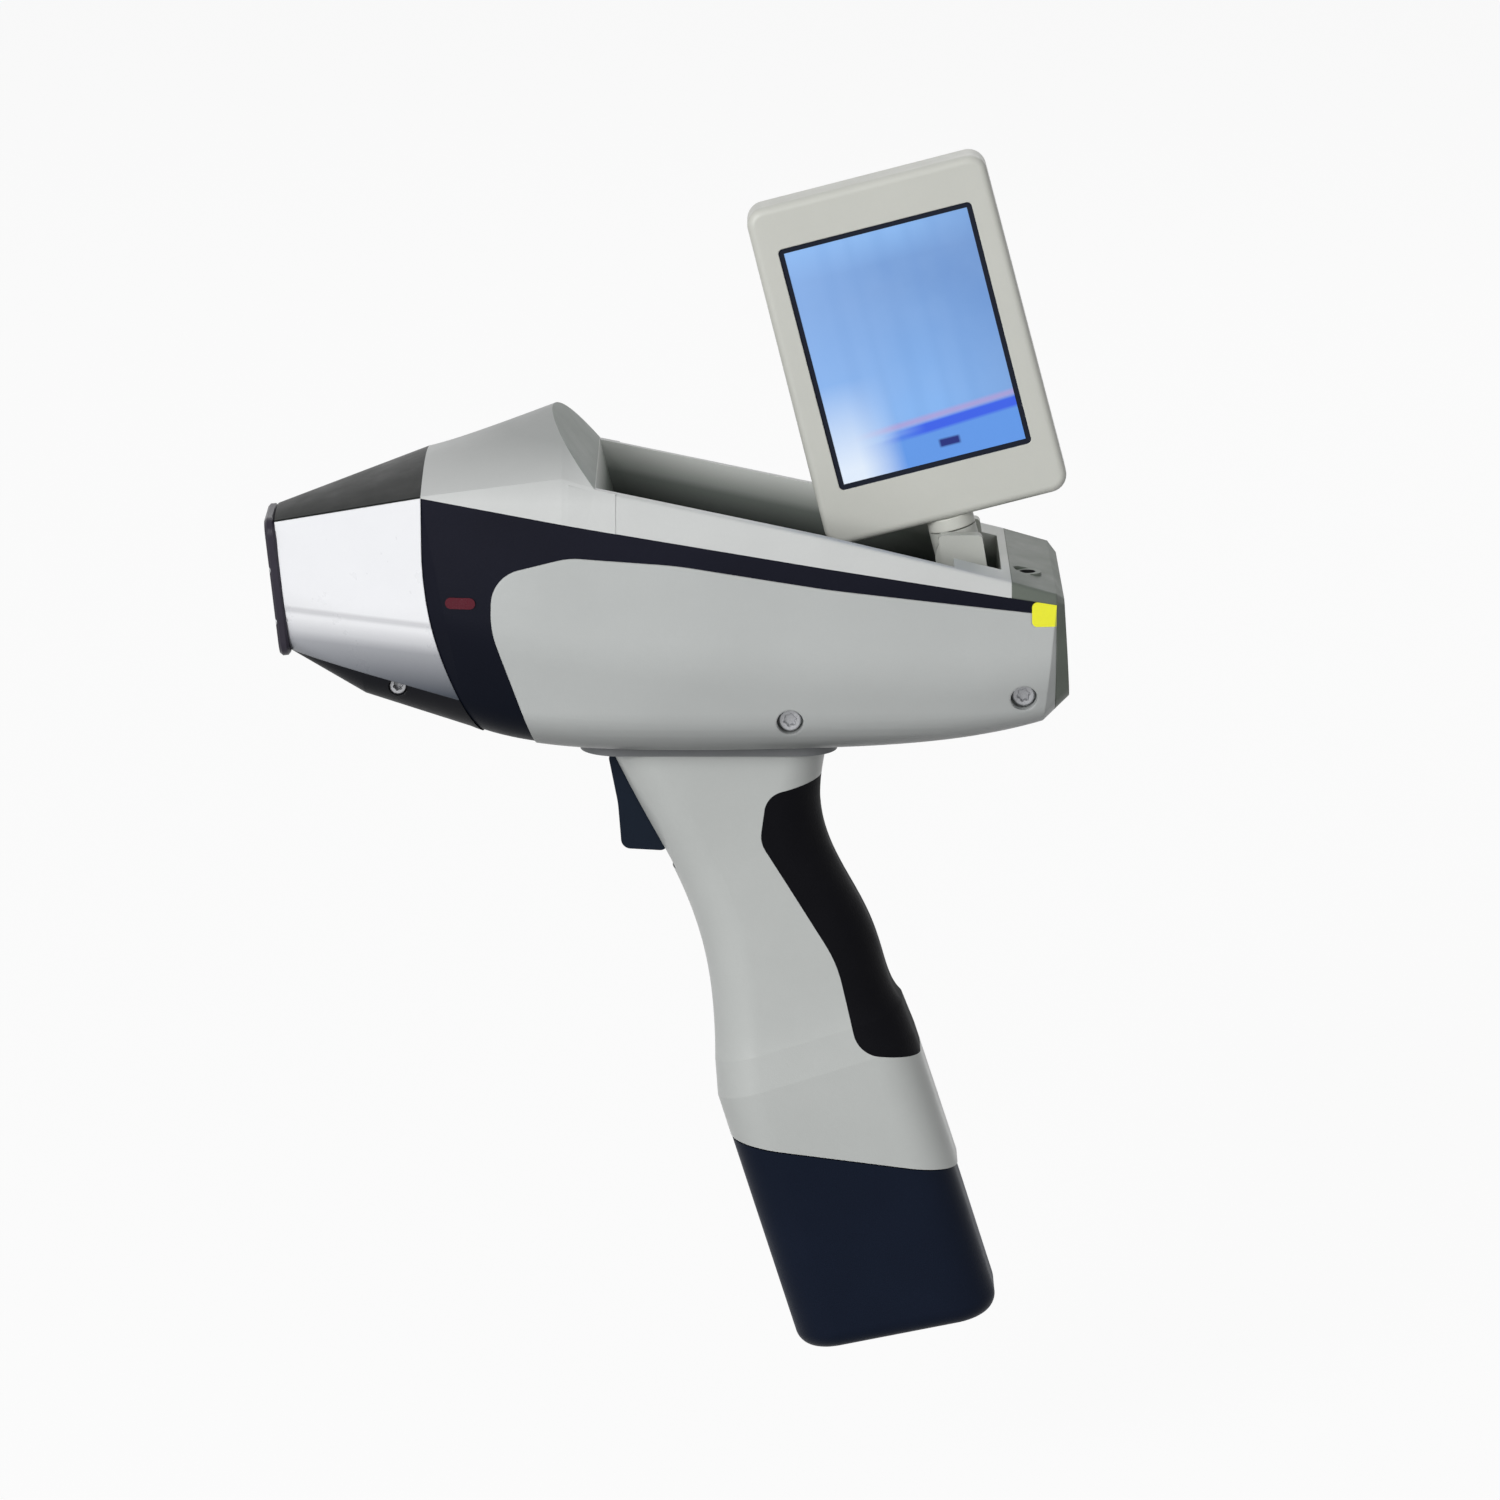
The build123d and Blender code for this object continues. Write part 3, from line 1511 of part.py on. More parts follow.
pieces = {
    "nose_shell": nose_shell,
    "nose_under_cover": nose_under_cover,
    "nose_top_cover": nose_top_cover,
    "window_plate": window_plate,
    "window_film": window_film,
    "film_retainer": film_retainer,
    "window_screws": window_screws,
    "nose_screws": nose_screws,
    "upper_housing": upper_housing,
    "trim_left": trim_left,
    "trim_right": trim_right,
    "side_shell_left": side_shell_left,
    "side_shell_right": side_shell_right,
    "side_screws": side_screws,
    "xray_lamp_lenses": xray_lamp_lenses,
    "status_lamp_lenses": status_lamp_lenses,
    "rear_cap": rear_cap,
    "power_socket": power_socket,
    "grip_collar": grip_collar,
    "grip_left": grip_left,
    "grip_right": grip_right,
    "grip_rubber": grip_rubber,
    "grip_screws": grip_screws,
    "trigger": trigger,
    "trigger_pin": trigger_pin,
    "trigger_bracket": trigger_bracket,
    "trigger_switch": trigger_switch,
    "trigger_spring": trigger_spring,
    "battery_case": battery_case,
    "battery_cells": battery_cells,
    "battery_terminals": battery_terminals,
    "grip_contacts": grip_contacts,
    "hinge_bracket": hinge_bracket,
    "tilt_pin": tilt_pin,
    "hinge_knuckle": hinge_knuckle,
    "swivel_shaft": swivel_shaft,
    "swivel_clip": swivel_clip,
    "swivel_boss": swivel_boss,
    "display_front": display_front,
    "display_back": display_back,
    "display_screws": display_screws,
    "lcd_module": lcd_module,
    "screen_gasket": screen_gasket,
    "touch_glass": touch_glass,
    "display_board": display_board,
    "measuring_block": measuring_block,
    "filter_wheel": filter_wheel,
    "filter_foils": filter_foils,
    "filter_motor": filter_motor,
    "detector": detector,
    "xray_tube": xray_tube,
    "chassis": chassis,
    "tube_cradle": tube_cradle,
    "high_voltage_supply": high_voltage_supply,
    "board_posts": board_posts,
    "main_board": main_board,
    "pulse_processor": pulse_processor,
}
for name, piece in pieces.items():
    piece.part.label = name
    export_step(piece.part, f"parts/{name}.step")
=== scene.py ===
"""Looks and studio for the handheld X-ray fluorescence analyser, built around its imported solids.

Metres, in the row frame: +X out of the nose, +Y to the analyser's left, +Z up.
"""

import json
import math

import bmesh
import bpy
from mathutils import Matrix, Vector


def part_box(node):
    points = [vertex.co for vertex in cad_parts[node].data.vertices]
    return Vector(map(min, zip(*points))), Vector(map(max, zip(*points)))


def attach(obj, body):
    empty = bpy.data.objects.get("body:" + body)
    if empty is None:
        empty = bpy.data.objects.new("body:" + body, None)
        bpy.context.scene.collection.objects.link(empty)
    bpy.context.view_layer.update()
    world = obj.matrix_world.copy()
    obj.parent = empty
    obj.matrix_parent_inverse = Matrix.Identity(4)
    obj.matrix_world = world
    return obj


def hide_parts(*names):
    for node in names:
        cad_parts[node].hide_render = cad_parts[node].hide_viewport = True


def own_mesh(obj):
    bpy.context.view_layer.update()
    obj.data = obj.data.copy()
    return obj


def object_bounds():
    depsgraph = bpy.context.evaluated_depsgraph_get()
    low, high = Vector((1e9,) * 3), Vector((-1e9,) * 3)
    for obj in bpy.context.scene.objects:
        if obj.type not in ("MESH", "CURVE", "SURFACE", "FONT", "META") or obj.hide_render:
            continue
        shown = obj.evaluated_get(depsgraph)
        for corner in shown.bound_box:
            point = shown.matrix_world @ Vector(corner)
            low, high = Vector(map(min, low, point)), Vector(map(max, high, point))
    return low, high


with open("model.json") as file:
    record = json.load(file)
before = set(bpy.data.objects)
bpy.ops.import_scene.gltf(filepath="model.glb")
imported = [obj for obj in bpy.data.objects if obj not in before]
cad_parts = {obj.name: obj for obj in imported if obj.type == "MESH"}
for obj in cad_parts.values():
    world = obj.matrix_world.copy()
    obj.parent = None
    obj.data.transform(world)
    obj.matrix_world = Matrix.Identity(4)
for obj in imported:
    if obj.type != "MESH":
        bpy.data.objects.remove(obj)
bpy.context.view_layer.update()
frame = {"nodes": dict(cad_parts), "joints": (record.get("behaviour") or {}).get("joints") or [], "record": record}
nodes = frame["nodes"]
joints = {joint["name"]: joint for joint in frame["joints"]}
mounts = {mount["name"]: mount for mount in frame["record"]["mounts"]}
scene = bpy.context.scene

UP = Vector((0.0, 0.0, 1.0))
FORWARD = Vector((1.0, 0.0, 0.0))
RIGHT = Vector((0.0, -1.0, 0.0))
EDGE_SAMPLES = 6

# --- Node helpers -------------------------------------------------------------------------------


def new_material(name):
    """Empty node material with a Principled shader; returns the material, its tree and the shader."""
    material = bpy.data.materials.new(name)
    material.use_nodes = True
    tree = material.node_tree
    tree.nodes.clear()
    shader = tree.nodes.new("ShaderNodeBsdfPrincipled")
    output = tree.nodes.new("ShaderNodeOutputMaterial")
    tree.links.new(shader.outputs["BSDF"], output.inputs["Surface"])
    return material, tree, shader


def object_point(tree):
    """Position on the object in its own coordinates, in metres."""
    return tree.nodes.new("ShaderNodeTexCoord").outputs["Object"]


def noise(tree, point, scale, detail=3.0, roughness=0.5):
    """Noise value with the given scale in cycles per metre."""
    texture = tree.nodes.new("ShaderNodeTexNoise")
    texture.inputs["Scale"].default_value = scale
    texture.inputs["Detail"].default_value = detail
    texture.inputs["Roughness"].default_value = roughness
    tree.links.new(point, texture.inputs["Vector"])
    return texture.outputs["Fac"]


def remap(tree, value, low, high, new_low, new_high):
    """Value mapped from low..high to new_low..new_high and held inside it."""
    node = tree.nodes.new("ShaderNodeMapRange")
    for socket, number in zip(node.inputs[1:5], (low, high, new_low, new_high)):
        socket.default_value = number
    tree.links.new(value, node.inputs["Value"])
    return node.outputs["Result"]


def feed(tree, value, socket):
    """Links a socket, or sets a number, on an input."""
    if isinstance(value, bpy.types.NodeSocket):
        tree.links.new(value, socket)
    else:
        socket.default_value = value


def combine(tree, operation, first, second):
    """Math node on sockets or numbers."""
    node = tree.nodes.new("ShaderNodeMath")
    node.operation = operation
    feed(tree, first, node.inputs[0])
    feed(tree, second, node.inputs[1])
    return node.outputs[0]


def vector_math(tree, operation, first, second=(0.0, 0.0, 0.0)):
    """Vector math node of a socket and a fixed vector."""
    node = tree.nodes.new("ShaderNodeVectorMath")
    node.operation = operation
    node.inputs[1].default_value = tuple(second)
    tree.links.new(first, node.inputs[0])
    return node


def along(tree, point, direction):
    """Distance of the point along a direction."""
    return vector_math(tree, "DOT_PRODUCT", point, direction).outputs["Value"]


def near(tree, value, low, high, soft):
    """1 where the value lies between low and high, with soft edges."""
    rise = remap(tree, value, low - soft, low + soft, 0.0, 1.0)
    fall = remap(tree, value, high - soft, high + soft, 1.0, 0.0)
    return combine(tree, "MULTIPLY", rise, fall)


def mix(tree, share, first, second):
    """Colour mix; first and second are colours or sockets, share is a socket."""
    node = tree.nodes.new("ShaderNodeMix")
    node.data_type = "RGBA"
    tree.links.new(share, node.inputs[0])
    for socket, colour in ((node.inputs[6], first), (node.inputs[7], second)):
        feed(tree, colour if isinstance(colour, bpy.types.NodeSocket) else (*colour, 1.0), socket)
    return node.outputs[2]


def bump(tree, shader, height, distance):
    """Gives the shader a bump of the given height in metres."""
    node = tree.nodes.new("ShaderNodeBump")
    node.inputs["Strength"].default_value = 1.0
    node.inputs["Distance"].default_value = distance
    tree.links.new(height, node.inputs["Height"])
    tree.links.new(node.outputs["Normal"], shader.inputs["Normal"])


def soften_edges(material, radius):
    """Rounds the shading of the surface's sharp edges, so that they catch light."""
    tree = material.node_tree
    node = tree.nodes.new("ShaderNodeBevel")
    node.samples = EDGE_SAMPLES
    node.inputs["Radius"].default_value = radius
    grain = [other for other in tree.nodes if other.type == "BUMP"][0]
    tree.links.new(node.outputs["Normal"], grain.inputs["Normal"])


def shader_of(material):
    """Principled shader of a material."""
    return [node for node in material.node_tree.nodes if node.type == "BSDF_PRINCIPLED"][0]


def paint_over(material, share, colour):
    """Paints a colour over the material's base colour where share is 1."""
    base = shader_of(material).inputs["Base Color"]
    tree = material.node_tree
    tree.links.new(mix(tree, share, base.links[0].from_socket, colour), base)


# --- Kinds of surface ---------------------------------------------------------------------------

TONE_SCALE = 28.0
HANDLING_SCALE = 75.0
BRUSHED_BUMP = 0.00001
BLACK_SHINE = 0.05


def srgb(red, green, blue):
    """Linear colour of an 8-bit screen colour."""
    parts = (channel / 255 for channel in (red, green, blue))
    return tuple(part / 12.92 if part < 0.0405 else ((part + 0.055) / 1.055) ** 2.4 for part in parts)


def shade(colour, factor):
    """Colour made lighter or darker by a factor."""
    return tuple(min(1.0, channel * factor) for channel in colour)


def moulded(
    name, colour, rough, grain=0.00004, grain_scale=2600.0, spread=0.10, coat=0.0, metal=0.0, shine=0.4
):
    """Moulded or painted surface: fine grain, slight tone changes and handling marks."""
    material, tree, shader = new_material(name)
    point = object_point(tree)
    cloudy = noise(tree, point, TONE_SCALE, 4.0, 0.6)
    share = remap(tree, cloudy, 0.3, 0.7, 0.0, 1.0)
    tone = mix(tree, share, shade(colour, 1.0 - spread), shade(colour, 1.0 + spread * 0.5))
    speck = remap(tree, noise(tree, point, grain_scale * 0.4, 2.0), 0.35, 0.65, 0.0, 0.18)
    tone = mix(tree, speck, tone, shade(colour, 1.0 - 1.6 * spread))
    tree.links.new(tone, shader.inputs["Base Color"])
    handled = noise(tree, point, HANDLING_SCALE, 5.0, 0.65)
    dulled = remap(tree, handled, 0.3, 0.75, rough - 0.05, rough + 0.08)
    tree.links.new(dulled, shader.inputs["Roughness"])
    bump(tree, shader, noise(tree, point, grain_scale, 2.0), grain)
    shader.inputs["Metallic"].default_value = metal
    shader.inputs["Specular IOR Level"].default_value = shine
    if coat:
        shader.inputs["Coat Weight"].default_value = coat
        shader.inputs["Coat Roughness"].default_value = 0.25
    return material


def brushed(name, colour, rough, scale=900.0, metal=1.0):
    """Metal with fine drawn or turned lines."""
    material, tree, shader = new_material(name)
    lines = noise(tree, object_point(tree), scale, 4.0, 0.7)
    share = remap(tree, lines, 0.35, 0.65, 0.0, 1.0)
    tone = mix(tree, share, shade(colour, 0.82), shade(colour, 1.08))
    tree.links.new(tone, shader.inputs["Base Color"])
    dulled = remap(tree, lines, 0.35, 0.65, rough - 0.06, rough + 0.1)
    tree.links.new(dulled, shader.inputs["Roughness"])
    shader.inputs["Metallic"].default_value = metal
    bump(tree, shader, lines, BRUSHED_BUMP)
    return material


def dress(material, *names):
    """Gives CAD nodes a material in all their slots."""
    for name in names:
        mesh = nodes[name].data
        mesh.materials.clear()
        mesh.materials.append(material)


# --- Nose ---------------------------------------------------------------------------------------

# The silver paint has painted shade darkening it towards the under cover, below a painted shade line that stands
# for a crease along the nose's side.
NOSE_SHADE_TOP = -0.0062
NOSE_SHADE_BOTTOM = -0.0265
NOSE_LINE_LOW = -0.0048
NOSE_LINE_HIGH = -0.0030
NOSE_LINE_SOFT = 0.0005
NOSE_LINE_SHARE = 0.35


def silver_paint():
    """Satin silver of the nose shell, with painted shade towards the under cover and a painted shade line for a
    crease.
    """
    material = moulded(
        "silver_paint", srgb(244, 245, 248), 0.30, 0.000004, 3600.0, 0.02, metal=0.05, shine=0.25
    )
    tree = material.node_tree
    height = along(tree, object_point(tree), UP)
    # Painted shade: the paint turns darker grey, then near slate, towards the under cover.
    low = remap(tree, height, NOSE_SHADE_BOTTOM, NOSE_SHADE_TOP, 1.0, 0.0)
    paint_over(material, remap(tree, low, 0.0, 0.35, 0.0, 0.8), srgb(158, 160, 166))
    paint_over(material, remap(tree, low, 0.2, 1.0, 0.0, 1.0), srgb(66, 72, 82))
    # Painted shade line where the nose's side would crease.
    crease_shade_line = near(tree, height, NOSE_LINE_LOW, NOSE_LINE_HIGH, NOSE_LINE_SOFT)
    paint_over(material, combine(tree, "MULTIPLY", crease_shade_line, NOSE_LINE_SHARE), srgb(150, 150, 156))
    soften_edges(material, 0.0006)
    return material


dress(silver_paint(), "nose_shell")
dress(moulded("nose_black", srgb(26, 28, 27), 0.42, spread=0.15, shine=0.1), "nose_top_cover")
dress(moulded("under_black", srgb(26, 27, 31), 0.42, spread=0.15, shine=BLACK_SHINE), "nose_under_cover")
dress(moulded("front_plate_paint", srgb(44, 40, 52), 0.35, spread=0.2, shine=0.25), "window_plate")
dress(moulded("film_amber", srgb(188, 134, 56), 0.18), "window_film")

# --- Upper housing and its display bay ----------------------------------------------------------

# Measured across the rails' slope, the rails' top edges lie at RAIL_LEVEL and the bay's floor BAY_DEPTH
# below them.
RAIL_SLOPE = Vector((-0.2134, 0.0, 1.0))
RAIL_LEVEL = 0.0589
BAY_DEPTH = 0.0200
BAY_HALF_WIDTH = 0.0359
BAY_FRONT_X = -0.0978
SIDE_EDGE = 0.00006
WALL_EDGE = 0.0001
WALL_FOOT_Z = 0.036
WALL_TOP_X = -0.083
WALL_BACKWARD = -0.6
WALL_UPWARD = 0.1
CROWN_START_Z = 0.034
CROWN_END_Z = 0.050


def front_wall():
    """Largest face of the sloping wall between the hump and the bay."""
    faces = [
        face
        for face in nodes["upper_housing"].data.polygons
        if face.normal.x < WALL_BACKWARD
        and face.normal.z > WALL_UPWARD
        and face.center.z > WALL_FOOT_Z
        and face.center.x < WALL_TOP_X
    ]
    return max(faces, key=lambda face: face.area)


def wall_share(tree, point):
    """1 on the bay's front wall."""
    wall = front_wall()
    offset = combine(tree, "SUBTRACT", along(tree, point, wall.normal), wall.normal.dot(wall.center))
    on_plane = remap(tree, combine(tree, "ABSOLUTE", offset, 0.0), WALL_EDGE, 2 * WALL_EDGE, 1.0, 0.0)
    level = along(tree, point, RAIL_SLOPE)
    over_rails = remap(tree, level, RAIL_LEVEL + WALL_EDGE, RAIL_LEVEL + 2 * WALL_EDGE, 0.0, 1.0)
    return combine(tree, "MULTIPLY", on_plane, over_rails)


def inside_share(tree, point):
    """1 between the bay's side walls, behind its front wall."""
    aside = combine(tree, "ABSOLUTE", along(tree, point, RIGHT), 0.0)
    between = remap(tree, aside, BAY_HALF_WIDTH - SIDE_EDGE, BAY_HALF_WIDTH + SIDE_EDGE, 1.0, 0.0)
    ahead = along(tree, point, FORWARD)
    behind = remap(tree, ahead, BAY_FRONT_X - WALL_EDGE, BAY_FRONT_X + WALL_EDGE, 1.0, 0.0)
    return combine(tree, "MULTIPLY", between, behind)


def body_paint():
    """Grey of the upper housing, with painted shade darkening the hump's crown and painted shade deepening with
    depth inside the bay, whose front wall is a darker grey-green.
    """
    material = moulded("body_grey", srgb(208, 210, 209), 0.42, 0.00002, 3000.0, 0.04, shine=0.25)
    tree = material.node_tree
    point = object_point(tree)
    # Painted shade on the hump's crown, darker towards the top.
    crown_shade = remap(tree, along(tree, point, UP), CROWN_START_Z, CROWN_END_Z, 0.0, 0.62)
    paint_over(material, crown_shade, srgb(128, 131, 130))
    on_wall = wall_share(tree, point)
    level = along(tree, point, RAIL_SLOPE)
    # Painted shade inside the bay: pale at the rails' edges, darkening to near black at the floor.
    depth = remap(tree, level, RAIL_LEVEL - BAY_DEPTH, RAIL_LEVEL, 1.0, 0.0)
    tone = mix(tree, remap(tree, depth, 0.0, 0.45, 0.0, 1.0), srgb(214, 217, 213), srgb(122, 128, 123))
    tone = mix(tree, remap(tree, depth, 0.35, 0.85, 0.0, 1.0), tone, srgb(36, 40, 38))
    tone = mix(tree, on_wall, tone, srgb(134, 141, 136))
    paint_over(material, combine(tree, "MAXIMUM", inside_share(tree, point), on_wall), tone)
    return material


dress(body_paint(), "upper_housing")

# --- Sides, lamps and rear ----------------------------------------------------------------------

BELLY_START_Z = -0.030
BELLY_END_Z = -0.041
TRIM_LIGHT_Z = 0.020
TRIM_DARK_Z = -0.030
BORE_MARGIN = 0.00002
BORE_FADE = 0.0001


def panel_paint():
    """Grey of the side panels, with painted shade darkening them under the belly."""
    material = moulded("panel_grey", srgb(190, 193, 192), 0.38, 0.00002, 3000.0, 0.035, shine=0.22)
    tree = material.node_tree
    # Painted shade under the belly.
    belly_shade = remap(tree, along(tree, object_point(tree), UP), BELLY_END_Z, BELLY_START_Z, 0.6, 0.0)
    paint_over(material, belly_shade, srgb(122, 124, 124))
    soften_edges(material, 0.0009)
    return material


def trim_paint():
    """Navy of the trim, with painted shade making it nearly black lower down."""
    material = moulded("trim_navy", srgb(25, 26, 37), 0.42, spread=0.15, shine=0.06)
    tree = material.node_tree
    # Painted shade: the navy turns nearly black lower down.
    low = remap(tree, along(tree, object_point(tree), UP), TRIM_DARK_Z, TRIM_LIGHT_Z, 1.0, 0.0)
    paint_over(material, low, srgb(10, 14, 24))
    return material


def rear_paint():
    """Dark grey-green of the rear cap."""
    material = moulded("rear_cap_grey", srgb(102, 109, 101), 0.46, spread=0.10, shine=0.25)
    soften_edges(material, 0.0008)
    return material


def socket_paint():
    """The rear cap's grey, with the power socket's bore in black."""
    material = moulded("socket_grey", srgb(102, 109, 101), 0.46, spread=0.10, shine=0.3)
    tree = material.node_tree
    mount = mounts["power_socket"]
    bore_radius = mount["dims"]["r_mm"] / 1000
    apart = vector_math(tree, "SUBTRACT", object_point(tree), mount["pos_m"]).outputs[0]
    flat = vector_math(tree, "MULTIPLY", apart, (1.0, 1.0, 0.0)).outputs[0]
    reach = vector_math(tree, "LENGTH", flat).outputs["Value"]
    bore = remap(tree, reach, bore_radius + BORE_MARGIN, bore_radius + BORE_FADE, 1.0, 0.0)
    paint_over(material, bore, srgb(12, 12, 14))
    return material


dress(panel_paint(), "side_shell_left", "side_shell_right")
dress(trim_paint(), "trim_left", "trim_right")
dress(rear_paint(), "rear_cap")
dress(socket_paint(), "power_socket")
dress(moulded("lens_red", srgb(84, 18, 34), 0.22, coat=0.1, shine=0.15), "xray_lamp_lenses")
dress(moulded("lens_yellow", srgb(248, 247, 34), 0.22, spread=0.06, coat=0.5), "status_lamp_lenses")

# --- Grip, trigger and battery ------------------------------------------------------------------

dress(moulded("grip_grey", srgb(192, 195, 193), 0.36, 0.00003, 2600.0, 0.04), "grip_left", "grip_right")
dress(moulded("rubber_black", srgb(14, 14, 18), 0.6, 0.00010, 1400.0, 0.2, shine=BLACK_SHINE), "grip_rubber")
dress(moulded("collar_grey", srgb(120, 122, 124), 0.5, 0.00004, 2000.0, 0.1, shine=0.3), "grip_collar")
dress(moulded("battery_navy", srgb(21, 28, 43), 0.44, 0.00004, 2400.0, 0.12, shine=0.05), "battery_case")
dress(moulded("trigger_navy", srgb(22, 30, 42), 0.42, 0.00003, 2400.0, 0.12, shine=0.08), "trigger")

# --- Display and its hinge ----------------------------------------------------------------------

SCREEN_GLOW = 0.6
SCREEN_ROUGHNESS = 0.16
SCREEN_SHINE = 0.3
SCREEN_COLUMNS = ((0.20, 0.035), (0.34, 0.02), (0.50, 0.035), (0.66, 0.02), (0.80, 0.03))


def display_paint():
    """Warm pale grey of the display's case."""
    material = moulded("display_grey", srgb(205, 206, 199), 0.38, 0.00002, 3000.0, 0.03)
    soften_edges(material, 0.0005)
    return material


def screen_place(tree, point):
    """Shares of the screen's width, from its left, and of its height, from its foot."""
    screen_up = Vector(joints["display_swivel"]["axis"])
    screen_side = Vector((-screen_up.z, 0.0, screen_up.x))
    shares = []
    for way in (screen_side, screen_up):
        reaches = [vertex.co.dot(way) for vertex in nodes["touch_glass"].data.vertices]
        shares.append(remap(tree, along(tree, point, way), min(reaches), max(reaches), 0.0, 1.0))
    return shares


def screen_picture():
    """Lit blue picture under glossy glass: soft columns, three slanting bands, a painted glare and a button."""
    material, tree, shader = new_material("screen_picture")
    point = object_point(tree)
    across, upward = screen_place(tree, point)

    def ramp(value, low, high, new_low, new_high):
        return remap(tree, value, low, high, new_low, new_high)

    def both(first, second):
        return combine(tree, "MULTIPLY", first, second)

    tone = mix(tree, ramp(upward, 0.25, 0.75, 0.0, 1.0), srgb(132, 180, 240), srgb(120, 160, 216))
    tone = mix(tree, ramp(upward, 0.86, 1.0, 0.0, 0.6), tone, srgb(150, 200, 255))
    tone = mix(tree, ramp(across, 0.6, 1.0, 0.0, 0.45), tone, srgb(96, 136, 196))
    tone = mix(tree, ramp(across, 0.0, 0.5, 0.45, 0.0), tone, srgb(150, 190, 245))
    cloud = noise(tree, point, 55.0, 3.0)
    tone = mix(tree, ramp(cloud, 0.35, 0.65, 0.0, 0.14), tone, srgb(160, 196, 246))
    for place, width in SCREEN_COLUMNS:
        column = near(tree, across, place - width, place + width, 0.02)
        tone = mix(tree, both(column, 0.10), tone, srgb(105, 148, 212))

    level = combine(tree, "SUBTRACT", upward, both(across, 0.04))
    right_part = ramp(across, 0.10, 0.32, 0.0, 1.0)
    low_band = both(near(tree, level, -0.2, 0.125, 0.006), right_part)
    tone = mix(tree, low_band, tone, srgb(96, 152, 232))
    blue_band = both(near(tree, level, 0.105, 0.15, 0.008), ramp(across, 0.24, 0.5, 0.0, 1.0))
    tone = mix(tree, blue_band, tone, srgb(56, 96, 232))
    pink_line = both(near(tree, level, 0.155, 0.178, 0.008), right_part)
    tone = mix(tree, both(pink_line, 0.75), tone, srgb(178, 158, 214))
    # Painted glare, a painted reflection in the lower left of the screen.
    painted_glare = both(ramp(across, 0.12, 0.36, 1.0, 0.0), ramp(upward, 0.05, 0.42, 1.0, 0.0))
    tone = mix(tree, painted_glare, tone, srgb(228, 240, 255))
    button = both(near(tree, across, 0.55, 0.66, 0.008), near(tree, upward, 0.052, 0.085, 0.005))
    tone = mix(tree, button, tone, srgb(22, 36, 120))

    dimmed = mix(tree, ramp(cloud, 0.0, 1.0, 0.55, 0.60), tone, srgb(12, 16, 30))
    tree.links.new(dimmed, shader.inputs["Base Color"])
    tree.links.new(tone, shader.inputs["Emission Color"])
    shader.inputs["Emission Strength"].default_value = SCREEN_GLOW
    shader.inputs["Roughness"].default_value = SCREEN_ROUGHNESS
    shader.inputs["Specular IOR Level"].default_value = SCREEN_SHINE
    return material


dress(display_paint(), "display_front", "display_back", "swivel_boss")
dress(
    moulded("hinge_paint", srgb(188, 190, 184), 0.38, 0.00002, 3000.0, 0.05),
    "hinge_bracket", "hinge_knuckle",
)
dress(moulded("gasket_black", srgb(34, 38, 50), 0.5, shine=BLACK_SHINE), "screen_gasket")
dress(screen_picture(), "touch_glass", "lcd_module")

# --- Inside pieces and metal --------------------------------------------------------------------

steel = brushed("fastener_steel", srgb(176, 177, 180), 0.34, scale=2400.0, metal=0.6)
dress(
    steel,
    "window_screws", "nose_screws", "side_screws", "grip_screws", "display_screws", "tilt_pin",
    "trigger_pin", "swivel_shaft", "swivel_clip", "film_retainer", "trigger_spring",
    "trigger_bracket", "filter_motor", "detector",
)
dress(
    brushed("milled_aluminium", srgb(212, 213, 215), 0.34),
    "measuring_block", "filter_wheel", "chassis", "tube_cradle", "pulse_processor",
)
dress(brushed("foil_copper", srgb(206, 158, 118), 0.28), "filter_foils", "board_posts", "battery_terminals")
dress(moulded("board_green", srgb(28, 88, 60), 0.35, spread=0.25), "display_board", "main_board")
dress(moulded("tube_ceramic", srgb(226, 222, 212), 0.3), "xray_tube")
dress(moulded("cell_sleeve", srgb(48, 124, 96), 0.3), "battery_cells")
dress(
    moulded("plain_black", srgb(24, 24, 27), 0.5, shine=BLACK_SHINE),
    "trigger_switch", "grip_contacts", "high_voltage_supply",
)

# --- Meshes that stand for CAD nodes ------------------------------------------------------------


def steady(radius):
    """Reach that is the same at every turn."""
    return lambda turn: radius


def ring_of(work, place, reach, across, beside, steps):
    """Closed ring of points round a place; reach gives the radius at each turn."""
    points = []
    for step in range(steps):
        turn = 2 * math.pi * step / steps
        way = across * math.cos(turn) + beside * math.sin(turn)
        points.append(work.verts.new(place + way * reach(turn)))
    return points


def skin(work, rings):
    """Faces between neighbouring rings, and a cap on each end."""
    for first, second in zip(rings, rings[1:]):
        for step in range(len(first)):
            following = (step + 1) % len(first)
            work.faces.new((first[step], second[step], second[following], first[following]))
    work.faces.new(rings[0])
    work.faces.new(list(reversed(rings[-1])))


def add_piece(name, work, material):
    """Object in the scene with the work mesh, its faces turned outward."""
    bmesh.ops.recalc_face_normals(work, faces=work.faces)
    mesh = bpy.data.meshes.new(name)
    work.to_mesh(mesh)
    work.free()
    mesh.materials.append(material)
    piece = bpy.data.objects.new(name, mesh)
    scene.collection.objects.link(piece)
    return piece


# --- Screws with their drive recesses -----------------------------------------------------------

SAME_POINT = 0.000002
FLAT_TOP = 0.00002
SCREW_STEPS = 72
DRIVE_LOBES = 6

# Shares of the head's radius.
HEAD_RIM = 0.9
HEAD_CHAMFER = 0.12
DRIVE_RADIUS = 0.52
DRIVE_LIP = 0.05

# Shares of the head's height.
DRIVE_FOOT = 0.62
DRIVE_EDGE = 0.06

# Shares of the recess's radius, and of the chamfer.
DRIVE_WAVE = 0.13
LIP_WAVE = 0.11
FOOT_TAPER = 0.94
CHAMFER_CREST = 0.3


